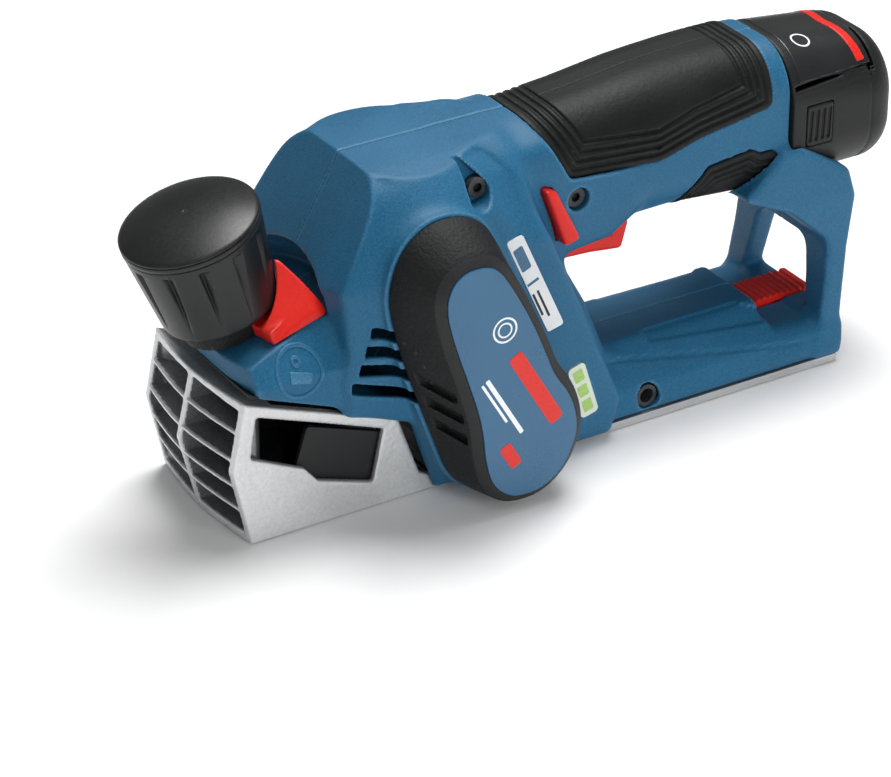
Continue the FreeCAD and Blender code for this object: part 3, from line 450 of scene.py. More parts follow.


# each lighter edge colour below is partly wear and partly painted highlight; the blue one is the tone of lit highlights
# on the edges
BLUE = finish_mat("blue_moulded", "1E5D80", 0.50, grain=1500, depth=0.00014, grain_amt=0.55, mottle=0.05, rvar=0.10,
                  edge_wear_and_highlight=("6FA3C4", 0.515, 0.60, 0.55), spec=0.32)
BLACK = finish_mat("black_textured", "131415", 0.60, grain=1500, depth=0.00020, grain_amt=0.60, mottle=0.10, rvar=0.10,
                   edge_wear_and_highlight=("48494A", 0.52, 0.62, 0.6), cell=900.0, spec=0.28)
KNOBM = finish_mat("black_knob", "141515", 0.36, grain=900, depth=0.00002, grain_amt=0.25, mottle=0.12, rvar=0.07,
                   edge_wear_and_highlight=("3C3D3E", 0.52, 0.62, 0.5), spec=0.40)
BATM = finish_mat("black_battery", "161717", 0.50, grain=1300, depth=0.00012, grain_amt=0.45, mottle=0.10, rvar=0.10,
                  edge_wear_and_highlight=("454647", 0.52, 0.62, 0.5), spec=0.32)
RUBBER = finish_mat("soft_rubber", "131414", 0.56, grain=1100, depth=0.00007, grain_amt=0.35, mottle=0.14, rvar=0.08,
                    edge_wear_and_highlight=("3A3B3C", 0.52, 0.62, 0.45), cell=700.0, spec=0.24)
RED = finish_mat("red_moulded", "CF2017", 0.40, grain=1200, depth=0.00004, grain_amt=0.16, mottle=0.06, rvar=0.07,
                 edge_wear_and_highlight=("E8665C", 0.52, 0.62, 0.4), spec=0.3)
ALU = finish_mat("cast_aluminium", "DADCDD", 0.38, metal=0.62, grain=800, depth=0.00014, grain_amt=0.20, mottle=0.07,
                 rvar=0.12, edge_wear_and_highlight=("F2F3F4", 0.52, 0.62, 0.5), cell=500.0)
MACH = finish_mat("machined_aluminium", "CFD0D1", 0.30, metal=0.85, grain=900, depth=0.00004, grain_amt=0.14,
                  mottle=0.05, rvar=0.10, brushed=(0.05, 1.0, 1.0))
STEEL = finish_mat("ground_steel", "B4B7B9", 0.27, metal=1.0, grain=1500, depth=0.00002, grain_amt=0.20, mottle=0.06,
                   rvar=0.10, edge_wear_and_highlight=("E8EAEB", 0.52, 0.62, 0.5))
SCREW = finish_mat("black_oxide_steel", "141516", 0.42, metal=0.35, grain=1500, depth=0.00003, grain_amt=0.3, mottle=0.10,
                   rvar=0.10, edge_wear_and_highlight=("5A5C5E", 0.52, 0.60, 0.6), spec=0.3)
COPPER = finish_mat("wound_copper", "A8612F", 0.35, metal=0.9, grain=900, depth=0.0003, grain_amt=0.4, mottle=0.12,
                    brushed=(1.0, 0.05, 1.0))
RUBB2 = finish_mat("belt_rubber", "19191A", 0.70, grain=900, depth=0.0001, grain_amt=0.4, mottle=0.1)
PALE = finish_mat("printed_label", "D9DDE0", 0.42, grain=1500, depth=0.00002, grain_amt=0.05, mottle=0.03, rvar=0.06)
BADGE = finish_mat("printed_badge", "1B587D", 0.30, grain=1600, depth=0.00002, grain_amt=0.08, mottle=0.04, rvar=0.05,
                   coat=0.3)
GREEN = finish_mat("green_lens", "8FB25C", 0.25, grain=700, depth=0.00002, grain_amt=0.06, mottle=0.06, rvar=0.05,
                   emission=("8FB25C", 0.12))
LENSM = finish_mat("clear_lens_rim", "C6D2C4", 0.30, grain=700, depth=0.00002, grain_amt=0.06, mottle=0.05, rvar=0.05)
PCB = finish_mat("circuit_board", "1F5A35", 0.40, grain=700, depth=0.00006, grain_amt=0.25, mottle=0.12)
# black rubber of the shoe seal, also used as painted shadow in the shoe's chip chamber
SEAL_AND_SHADOW = finish_mat("black_seal_and_painted_shadow", "141515", 0.72, grain=900, depth=0.00009, grain_amt=0.4, mottle=0.12)
CELLW = finish_mat("cell_wrap", "3C8A4A", 0.35, grain=900, depth=0.00002, grain_amt=0.08, mottle=0.06)
# darker cast metal: painted shade for the inner faces of the shoe's pockets
CAST_SHADE = finish_mat("cast_metal_painted_shade", "9A9DA0", 0.45, metal=0.7, grain=900, depth=0.00010, grain_amt=0.5, mottle=0.16, rvar=0.10)
FRAMEM = finish_mat("black_frame", "202122", 0.55, grain=1500, depth=0.00012, grain_amt=0.45, mottle=0.10, rvar=0.10,
                    edge_wear_and_highlight=("58595A", 0.52, 0.62, 0.5), spec=0.34)
GLOSS = finish_mat("black_glossy", "1A1B1C", 0.30, grain=1200, depth=0.00002, grain_amt=0.15, mottle=0.12, rvar=0.06,
                   edge_wear_and_highlight=("4A4B4C", 0.52, 0.62, 0.4), spec=0.5)
WHITE = finish_mat("white_print", "E6E9EA", 0.45, grain=1500, depth=0.00001, grain_amt=0.05, mottle=0.03, rvar=0.05)
DUCT = finish_mat("black_smooth", "171819", 0.45, grain=1100, depth=0.00005, grain_amt=0.3, mottle=0.12, spec=0.4)

PAINT = {
    "housing_left": BLUE, "housing_right": BLUE, "grip_left": RUBBER, "grip_right": RUBBER, "rear_grip_pads": RUBBER,
    "housing_screws": SCREW, "rear_sole": MACH, "rear_sole_screws": SCREW, "guide_inserts": SCREW, "belt_cover": BLACK,
    "belt_cover_badge": BADGE, "belt_cover_screws": SCREW, "spec_label": PALE, "charge_indicator": LENSM,
    "indicator_leds": GREEN, "cutter_drum": ALU, "planer_blade": STEEL, "blade_clamp": STEEL, "blade_screws": SCREW,
    "driven_pulley": BLACK, "drum_bearings": STEEL, "motor_rotor": STEEL, "drive_pulley": STEEL, "cooling_fan": DUCT,
    "motor_stator": COPPER, "motor_can": SCREW, "motor_bearings": STEEL, "drive_belt": RUBB2, "front_shoe": ALU,
    "side_panels": DUCT, "shoe_guide_pins": STEEL, "shoe_seal": SEAL_AND_SHADOW, "chip_deflector": DUCT, "depth_knob": KNOBM,
    "depth_scale_ring": KNOBM, "knob_cap": KNOBM, "depth_spindle": STEEL, "chip_lever": RED, "trigger": RED,
    "trigger_spring": STEEL, "lock_off_button": RED, "switch_module": DUCT, "terminal_block": DUCT,
    "control_board": PCB, "battery_case": BATM, "battery_label": PALE, "battery_latch_left": BATM,
    "battery_latch_right": BATM, "battery_cells": BATM, "battery_contacts": STEEL, "key_holder": RED, "hex_key": SCREW,
}
for n, o in NODE.items():
    o.data.materials.clear()
    o.data.materials.append(PAINT[n])
    for p in o.data.polygons:
        p.material_index = 0

# ------------------------------------------------------------------ housing halves
BODY = [(-72.0, 57, 3), (-73.9, 78.2, 3), (-70.0, 85, 0), (-66, 91.6, 0), (-61, 99.6), (-55.6, 108.9, 0), (-23, 108.7, 20),
        (-9.0, 107.5, 6), (-3.6, 88, 6), (27.4, 14, 5), (24.3, 1.2, 3), (-41.5, 1.2, 1), (-48.8, 27, 4), (-72, 36.6, 1)]
BODY_CS = [(-50, -2), (32.5, -2), (34.0, 14, 6), (34.0, 79, 14), (25.0, 101, 8), (14, 108.6, 6), (-50, 108.6)]
DECK = [(-104.6, 51.4, 1), (-105.2, 60.0, 2), (-98, 68, 2), (-60, 76), (-60, 38), (-72, 38.2)]
DECK_CS = [(-50, 20), (30.6, 20), (30.6, 53, 2), (23, 64.5, 4), (17, 70), (-50, 70)]
DECK_PLAN = [(-101.5, 32, 3), (-105.5, 12, 6), (-105.5, -50), (-60, -50), (-60, 34)]
NECK = [(-12, 104), (20, 104), (38, 76, 4), (31, 65.0, 3), (14, 62.5, 3), (16.5, 55, 10), (23.0, 43, 8), (31, 23, 6),
        (52, 6), (-12, 6)]
NECK_CS = [(-50, 2), (19.5, 2), (19.5, 60, 6), (20.5, 104, 4), (-50, 104)]
BASE = [(-6, 2.7), (116.2, 2.7, 1.5), (118.2, 15.2, 2), (93.5, 15.2, 1), (91.5, 23.2, 2), (-6, 23.2)]
BASE_CS = [(-50, 2), (28.8, 2), (29.0, 6.6, 1), (27.2, 12, 4), (13.5, 23.3, 3), (-50, 23.3)]
PILLAR = [(107.6, 3.2), (111.2, 30), (112.2, 43.5, 9), (96, 58.0, 12), (78, 66, 2), (94, 80), (101, 80, 3),
          (119.5, 68.0, 4), (122.3, 58, 4), (120.2, 38, 30), (116.2, 3.2, 2)]
PILLAR_CS = [(-50, 3), (28.4, 3), (26.0, 40, 20), (26.6, 60, 5), (25.5, 81), (-50, 81)]
WINDOW = [(-50, 15.2), (-50, 40.5), (12.6, 40.5, 6), (17.6, 15.2, 2)]
ROOM = [(-120, -5), (-120, 52.4), (-105.0, 52.4), (-50.0, 31.0), (-42.2, 8.4), (-36.0, 5.2), (-28, 5.2), (-28, -5)]
GRIP = [(13.5, 90.2, 4), (47.8, 87.4, 14), (62.9, 91.7, 14), (89.7, 96.2, 3), (90.6, 120), (0.5, 120), (2.0, 111.5, 6)]
PAD = [(58.0, 60.0), (59.5, 71.0, 2), (66.0, 80.4, 3), (82.5, 82.6, 3), (86.0, 80.4, 1), (90.5, 80.6, 2), (96.0, 75.5, 2), (96.0, 60.0)]
LOCK = [(1.7, 91.0, 1.5), (6.1, 89.4, 1.5), (15.1, 71.2, 1.5), (9.3, 69.6, 1.5)]
LABEL = [(-17.2, 81.8, 1), (-11.2, 82.8, 1), (4.1, 47.9, 1), (-1.8, 46.5, 1)]
LENS = [(5.4, 30.4, 1.5), (11.6, 32.2, 1.5), (17.4, 13.2, 1.5), (11.0, 11.6, 1.5)]
VENTS = [[(xl, zl), (xr, zr), (xr + 0.2, zr - 3.2), (xl - 0.4, zl - 3.2)] for xl, zl, xr, zr in
         ((-64.2, 65.4, -56.2, 63.6), (-66.0, 59.4, -54.4, 56.6), (-68.2, 53.6, -52.2, 49.4), (-70.6, 47.8, -50.4, 40.8))]
SWING = [(-50, -3.0), (33.0, -3.0), (33.0, 3.2), (25.8, 14.6), (-50, 14.6)]
SEATS = [(16.2, 83.0, 19.0, -1), (-24.2, 98.4, 24.0, -1), (31.0, 12.6, 22.0, 1), (106.5, 55.0, 22.5, 1)]

F_OUT = chaikin([(-30.5, 88.9), (-37.5, 91.8), (-46.2, 90.9), (-52.1, 85.8), (-54.2, 77.3), (-51.5, 64.7), (-46.4, 49.5),
                 (-41.6, 33.6), (-40.5, 19.7), (-37.5, 9.8), (-31, 3.6), (-24.5, 1.6), (-15.2, 2.2), (-6.6, 8.1),
                 (-1.8, 17.5), (-0.6, 24.3), (-1.8, 31.8), (-4.8, 39.1), (-9.6, 45.8), (-12, 52.5), (-17.5, 66.1),
                 (-24.7, 80)], 2)
G_OUT = chaikin([(-25.5, 90.5), (-31, 96.0), (-38.7, 98.6), (-48, 98.0), (-56.9, 91.2), (-61.2, 79.6), (-60.7, 69.3),
                 (-55.8, 50.7), (-49.0, 31.2), (-44.7, 19), (-41.8, 11), (-36.5, 4.6), (-29, 1.6), (-15.2, 1.5),
                 (-5, 6.8), (0.2, 16.5), (1.4, 24.3), (0.2, 32.4), (-3.0, 40), (-7.6, 46.4), (-10.2, 53.2),
                 (-15.8, 66.8), (-21.6, 80)], 2)


def handle_d(X, A, Z, grow=0.0):
    x = X.ravel()
    top = np.interp(x, [-16, 9, 26.6, 38, 48, 58, 69.5, 80, 90, 97], [107.6, 108.4, 109.9, 111.3, 112.5, 113.2, 113.7, 113.8, 113.6, 113.2])
    bot = np.interp(x, [-16, 30, 62, 97], [63.4, 64.0, 64.8, 62.4])
    hw = np.interp(x, [-16, 30, 62, 97], [21.3, 21.2, 21.4, 22.2])
    g = lambda v: v.reshape(X.shape).astype(np.float32)
    return boxd(A, Z, 0.0, g((top + bot) / 2), g(hw) + grow, g((top - bot) / 2) + grow, 16.5 + grow)


def sub(xs, ys, zs, x=None, y=None, z=None):
    """Index block of the part of a grid between given limits."""
    out = []
    for ax, r in ((xs, x), (ys, y), (zs, z)):
        if r is None:
            out.append(slice(0, len(ax)))
        else:
            i = int(np.searchsorted(ax, r[0]))
            j = int(np.searchsorted(ax, r[1]))
            out.append(slice(max(i - 1, 0), min(j + 1, len(ax))))
    return tuple(out)


def housing(side):
    near = side < 0
    xs, ys, zs = axis(-107.5, 124.5, H), axis(-2.0, 39.6 if near else 36.4, H), axis(0.2, 116.2, H)
    X, A, Z = xs[:, None, None], ys[None, :, None], zs[None, None, :]
    # motor body: flat sided lump, with the domed motor bulge growing out of it
    body = smax(poly(rnd(BODY), X, Z), poly(rnd(BODY_CS), A, Z), 4.0)
    rr = np.hypot(X - MOTOR[0], Z - MOTOR[1])
    u4 = (np.clip(A, 0, 37.0) / 38.0)
    root = np.sqrt(1 - u4 ** 4)
    prof = 36.8 * root
    slope = 36.8 * 2 * u4 ** 3 / 38.0 / root
    dome = smax((rr - prof) / np.sqrt(1 + slope * slope), A - 34.2, 1.5)
    body = smin(body, dome, 5.0)
    fp = -0.8576 * (X + 57.0) + 0.5146 * (Z - 106.4)
    body = smax(body, Z - (108.9 - 0.0016 * A * A), 0.5)
    body = smax(body, fp, 0.5)
    # the motor bulge lies a step below the cowl that carries the handle
    ramp_ = lambda v, w: np.clip(v / w, 0, 1) ** 2 * (3 - 2 * np.clip(v / w, 0, 1))
    low = ramp_(39.3 - rr, 2.6) * ramp_(108.8 - Z, 2.4) * ramp_(-fp - 0.2, 3.0) * ramp_(Z - 78.0, 18.0) * ramp_(33.8 - A, 5.0)
    STEP = 0.85 * low * ramp_(-2.0 - X, 14.0)
    # boss under the belt cover
    if near:
        g = poly(G_OUT, X, Z)
        body = smin(body, smax(g - 0.9, slab(A, 20.0, 37.8), 0.6), 3.0)
    deck = smax(smax(poly(rnd(DECK), X, Z), poly(rnd(DECK_CS), A, Z), 1.6), poly(rnd(DECK_PLAN), X, A), 1.6)
    D = smin(body, deck, 5.0)
    neck = smax(poly(rnd(NECK), X, Z), poly(rnd(NECK_CS), A, Z), 5.0)
    D = smin(D, neck, 4.0)
    base = smax(poly(rnd(BASE), X, Z), poly(rnd(BASE_CS), A, Z), 2.2)
    D = smin(D, base, 3.0)
    hand = smax(handle_d(X, A, Z), slab(X, -16.0, 97.2), 1.2)
    D = smin(D, hand, 11.0)
    D = D + STEP
    top = np.interp(X.ravel(), [-60, -10, 5, 26.6, 38, 58, 80, 97], [108.9, 108.9, 109.3, 110.6, 112.0, 113.7, 114.3, 113.7])
    D = smax(D, Z - top.reshape(X.shape) + 0 * A, 0.6)
    # flat facet that carries the air slots
    vp = np.maximum(poly(rnd([(-66.0, 68.4, 2), (-54.0, 66.0, 2), (-48.6, 39.0, 2), (-72.6, 46.4, 2)]), X, Z), A - (31.4 + 0.12 * (X + 71.0)))
    D = smin(D, np.maximum(vp, 22.0 - A), 3.0)
    pil = smax(poly(rnd(PILLAR), X, Z), poly(rnd(PILLAR_CS), A, Z), 2.2)
    pil = smax(pil, -poly(rnd(WINDOW), A, Z), 1.4)
    D = smin(D, pil, 3.5)
    # hollow inside
    inner = D + WALL
    inner = np.maximum(inner, 26.2 - np.hypot(X - DRUM[0], Z - DRUM[1]) + 0 * A)
    inner = np.maximum(inner, -poly([(-120, -5), (-120, 54.6), (-104.0, 54.6), (-48.4, 32.6), (-40, 9), (-40, -5)], X, Z))
    r = sub(xs, ys, zs, x=(-107, -50), z=(30, 95))
    x_, a_, z_ = X[r[0]], A[:, r[1]], Z[:, :, r[2]]
    s_ = (x_ - KO[0]) * KX + (z_ - KO[2]) * KZ
    q_ = np.hypot((x_ - KO[0]) * EX + (z_ - KO[2]) * EZ, a_)
    s_ = s_ + 0 * q_
    inner[r] = np.maximum(inner[r], -np.maximum(q_ - 35.2, slab(s_, -5.2, 17.0)))
    shell = cut(D, inner)
    for x, z, y, s in SEATS:                                          # screw towers
        if s == side:
            t = np.maximum(np.hypot(X - x, Z - z) - 5.0, slab(A, y - 6, 40))
            shell = smin(shell, np.maximum(t, D), 0.6)
    # key tunnel block
    shell = np.minimum(shell, np.maximum(np.maximum(slab(X, 89.5, 117.9), slab(Z, 4.0, 15.2)), A - 9.8))
    # lever pocket and spindle hub
    pk = poly(rnd([(-50, -3.0), (33.0, -3.0, 0.8), (33.0, 3.2, 2), (25.8, 14.6, 1.5), (-50, 14.6)]), q_, s_)
    shell[r] = smax(shell[r], -pk, 0.5)
    hub = np.maximum(q_ - 9.0, slab(s_, -8.0, 3.3))
    shell[r] = np.minimum(shell[r], hub)
    shell[r] = np.maximum(shell[r], -np.maximum(q_ - 3.05, slab(s_, -40, 12)))
    # room for the drum, the shoe and the sole
    shell = np.maximum(shell, -np.maximum(np.hypot(X - DRUM[0], Z - DRUM[1]) - 23.6, A - 29.35))
    shell = np.maximum(shell, -np.maximum(poly(ROOM, X, Z), A - 29.35))
    shell = np.maximum(shell, -np.maximum(slab(X, -56, -8.6), np.maximum(A - 29.35, slab(Z, -1, 14))))
    shell = np.maximum(shell, -np.maximum(slab(X, -12, 121), np.maximum(A - 29.35, Z - 2.7)))
    shell = np.maximum(shell, -np.maximum(slab(X, -58, -36), np.maximum(A - 26.0, slab(Z, 5.2, 27.0))))
    # bores of the motor and drum bearings
    for c, ri, ro in ((MOTOR, 4.0, 6.52), (DRUM, 5.2, 8.02)):
        rc = np.hypot(X - c[0], Z - c[1])
        if near:
            shell = np.maximum(shell, -np.maximum(rc - ri, slab(A, 28, 45)))
        else:
            shell = np.maximum(shell, -np.maximum(rc - ro, slab(A, 27, 33.1 if c is DRUM else 31.9)))
    # screw seats
    for x, z, y, s in SEATS:
        if s == side:
            shell = smax(shell, -np.maximum(np.hypot(X - x, Z - z) - 3.9, y - A), 0.5)
    # drop shaped mouth of the upper screw recess
    if near:
        tear = poly(capsule((-24.2, 98.2), 4.6, (-27.2, 107.4), 0.7), X, Z)
        shell = np.minimum(shell, np.maximum(np.maximum(tear - 1.8, slab(A, 16.0, 40.0)), D))
        shell = smax(shell, -np.maximum(tear, 24.2 - 0.42 * np.clip(Z - 98.0, 0, 20) - A), 0.4)
    # air vents
    for v in VENTS:
        shell = smax(shell, -np.maximum(poly(v, X, Z) - 0.35, 29.4 - A), 0.4)
    # shallow panel and ledge line on the side of the base
    pan = poly(rnd([(48.0, 24.6, 1), (84.0, 23.2, 2), (101.0, 16.4, 2), (48.0, 20.4, 1)]), X, Z)
    shell = smax(shell, -np.maximum(np.maximum(pan, -(D + 0.7)), 12.0 - A), 0.3)
    led = poly(capsule((30.0, 19.2), 0.45, (102.0, 9.6), 0.45), X, Z)
    shell = smax(shell, -np.maximum(np.maximum(led, -(D + 0.55)), 12.0 - A), 0.3)
    # lock-off windows, trigger slot, guide bores, key channel, battery socket
    shell = np.maximum(shell, -np.maximum(poly(rnd(LOCK), X, Z) - 0.3, A - 30))
    shell = smax(shell, -np.maximum(np.maximum(slab(X, 17.6, 47.6), A - 8.4), slab(Z, 46, 71.0)), 0.5)
    shell = smax(shell, -np.maximum(np.hypot(X - 40.7, Z - 7.7) - 4.3, 24.0 - A), 0.3)
    shell = np.maximum(shell, -np.maximum(np.maximum(slab(X, 94.6, 130), A - 7.65), slab(Z, 9.8, 20)))
    shell = smax(shell, -np.maximum(boxd(A, Z, 0, 87.4, 23.95, 25.15, 18.8), 97.2 - X), 0.5)
    shell = np.maximum(shell, -np.maximum(boxd(A, Z, 0, 87.6, 18.5, 18.2, 9.9), slab(X, 44, 99)))
    if near:
        shell = smax(shell, -np.maximum(poly(rnd(LABEL), X, Z) - 0.15, 33.6 - A), 0.2)
        shell = smax(shell, -np.maximum(poly(rnd(LENS), X, Z) - 0.15, 33.1 - A), 0.2)
    # seats of the soft grips
    hd = handle_d(X, A, Z)
    band = np.maximum(-hd - 1.0, hd - 4.0)
    shell = np.maximum(shell, -np.maximum(np.maximum(poly(rnd(GRIP), X, Z) - 0.15, band), slab(X, -3.7, 96.6)))
    band = np.maximum(-hd - 1.0, hd - 0.9)
    shell = np.maximum(shell, -np.maximum(np.maximum(np.maximum(poly(rnd(PAD), X, Z) - 0.15, band), slab(X, 55, 96.6)), 8.9 - A))
    shell = smax(shell, 0.03 - A + 0 * shell, 0.35)
    shell = shell.astype(np.float32)
    nm = "Housing_near" if near else "Housing_far"
    return solid(nm, shell, (xs, ys, zs), BLUE, "housing", ("housing_left" if near else "housing_right",), None, flip=near)


hn = housing(-1)
hf = housing(1)


# ------------------------------------------------------------------ soft grips with contour grooves
def grip(side):
    xs, ys, zs = axis(-4.5, 93.0, HG), axis(-1.2, 23.8, HG), axis(84.0, 116.0, HG)
    X, A, Z = xs[:, None, None], ys[None, :, None], zs[None, None, :]
    g = poly(rnd(GRIP, 8), X, Z)
    hd = handle_d(X, A, Z)
    out = hd - 0.55
    # contour grooves run along the upper border at set distances from it
    lev = np.full(g.shape, 9.0, np.float32)
    gg = poly(rnd([(13.5, 90.2, 4), (47.8, 87.4, 14), (62.9, 91.7, 14), (89.7, 96.2, 3), (92.0, 170), (-8.0, 170), (2.0, 111.5, 6)], 8), X, Z)
    for t in (2.7, 5.3, 7.9, 10.5):
        lev = np.minimum(lev, np.abs(-gg - t))
    groove = (0.5 + 0.5 * np.cos(np.pi * np.clip(lev / 1.0, 0, 1))) * 0.85
    out = out + groove
    D = smax(smax(out, -(hd + 0.95), 0.3), g, 0.5)
    D = smax(D, slab(X, -3.5, 96.4) + 0 * D, 0.3)
    D = np.maximum(D, -0.15 - A)
    hole = np.hypot(X - 47.0, Z - 92.5)
    D = np.maximum(D, -np.maximum(np.maximum(hole - 0.8, 18 - A), -hd - 0.45))
    nm = "Grip_near" if side < 0 else "Grip_far"
    return solid(nm, D.astype(np.float32), (xs, ys, zs), RUBBER, "housing",
                 ("grip_left" if side < 0 else "grip_right",), None, flip=side < 0)


grip(-1)
grip(1)


def pads():
    xs, ys, zs = axis(56.5, 98.0, HG), axis(7.5, 23.6, HG), axis(61.0, 84.5, HG)
    X, A, Z = xs[:, None, None], ys[None, :, None], zs[None, None, :]
    g = poly(rnd(PAD, 8), X, Z)
    hd = handle_d(X, A, Z)
    lev = np.full(g.shape, 9.0, np.float32)
    gg = poly(rnd([(58.0, 50.0), (59.5, 71.0, 2), (66.0, 80.4, 3), (82.5, 82.6, 3), (86.0, 79.6, 1), (104.0, 78.0), (104.0, 50.0)], 6), X, Z)
    for t in (2.2, 4.6, 7.0):
        lev = np.minimum(lev, np.abs(-gg - t))
    groove = (0.5 + 0.5 * np.cos(np.pi * np.clip(lev / 1.0, 0, 1))) * 0.75
    D = smax(smax(hd - 0.55 + groove, -(hd + 0.95), 0.3), g, 0.5)
    D = smax(D, slab(X, 56, 96.4) + 0 * D, 0.3)
    D = smax(D, 9.0 - A + 0 * D, 0.3).astype(np.float32)
    V, F = nets(D, xs, ys, zs)
    V = fit(D, V, xs, ys, zs)
    V, F = keep_main(V, F)
    n = len(V)
    V2 = np.concatenate([V, V * np.array([1, -1, 1])])
    F2 = np.concatenate([F, F[:, ::-1] + n])
    return mesh("Rear_pads", V2, F2, RUBBER, "housing", ("rear_grip_pads",))


pads()

# ------------------------------------------------------------------ printed plates
BR = (-30.5, 65.0)
BARS = (((-19.3, 41.8), 31.0, 5.2, RED), ((-30.6, 38.6), 25.0, 1.5, WHITE), ((-34.2, 40.6), 17.5, 0.9, WHITE), ((-28.4, 20.6), 9.2, 4.2, RED))
LAX = (-0.40, 0.915)
LBARS = (((-11.4, 74.6), 9.0, 3.6, BADGE), ((-7.4, 65.6), 1.0, 4.4, BADGE), ((-3.6, 57.2), 11.0, 0.8, SCREW), ((-5.6, 57.2), 9.0, 0.8, SCREW))
LY, GY = -34.15, -34.4


def inset(P, d):
    P = np.array(P, float)
    a = P - np.roll(P, 1, 0)
    b = np.roll(P, -1, 0) - P
    t = a / np.linalg.norm(a, axis=1)[:, None] + b / np.linalg.norm(b, axis=1)[:, None]
    n = np.stack([-t[:, 1], t[:, 0]], 1)
    n /= np.linalg.norm(n, axis=1)[:, None]
    area_ = 0.5 * np.sum(P[:, 0] * np.roll(P[:, 1], -1) - P[:, 1] * np.roll(P[:, 0], -1))
    return P + n * d * (1 if area_ > 0 else -1)


def plate(name, P, y0, y1, mat, body, nodes=(), slot=None, bevel=0.12, tilt=None):
    """Flat plate with the outline P in X, Z, from y0 (outer face) to y1."""
    P = np.array(P, float)
    n = len(P)
    Q = inset(P, bevel)
    off = (lambda x, z: 0.0) if tilt is None else tilt
    V = [(x, y0 + off(x, z), z) for x, z in Q]
    V += [(x, y0 + bevel + off(x, z), z) for x, z in P]
    V += [(x, y1 + off(x, z), z) for x, z in P]
    ccw = np.sum(P[:, 0] * np.roll(P[:, 1], -1) - P[:, 1] * np.roll(P[:, 0], -1)) > 0
    F = [tuple(range(n)), tuple(range(3 * n - 1, 2 * n - 1, -1))]
    for k in (0, n):
        F += [(k + i, k + n + i, k + n + (i + 1) % n, k + (i + 1) % n) for i in range(n)]
    if not ccw:
        F = [f[::-1] for f in F]
    me = bpy.data.meshes.new(name)
    me.from_pydata([(a * MM, b * MM, c * MM) for a, b, c in V], [], F)
    me.materials.append(mat)
    o = bpy.data.objects.new(name, me)
    bpy.context.scene.collection.objects.link(o)
    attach(o, body)
    if nodes:
        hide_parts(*nodes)
    return o


def torus(name, c, R, rr_, ry, mat, body, n=72, m=12):
    """Flattened ring round the Y direction."""
    V, F = [], []
    for i in range(n):
        a = 2 * math.pi * i / n
        for j in range(m):
            b = 2 * math.pi * j / m
            q = R + rr_ * math.cos(b)
            V.append((c[0] + q * math.cos(a), c[1] + ry * math.sin(b), c[2] + q * math.sin(a)))
            F.append((i * m + j, i * m + (j + 1) % m, ((i + 1) % n) * m + (j + 1) % m, ((i + 1) % n) * m + j))
    return mesh(name, V, F, mat, body)


def quad(c, ax, L, W, r=0.4):
    """Rounded rectangle in X, Z: centre, direction of the long side, length, width."""
    a = np.array(ax, float) / math.hypot(*ax)
    b = np.array([-a[1], a[0]])
    c = np.array(c, float)
    return rnd([tuple(c + a * L / 2 * i + b * W / 2 * j) + (r,) for i, j in ((-1, -1), (1, -1), (1, 1), (-1, 1))])


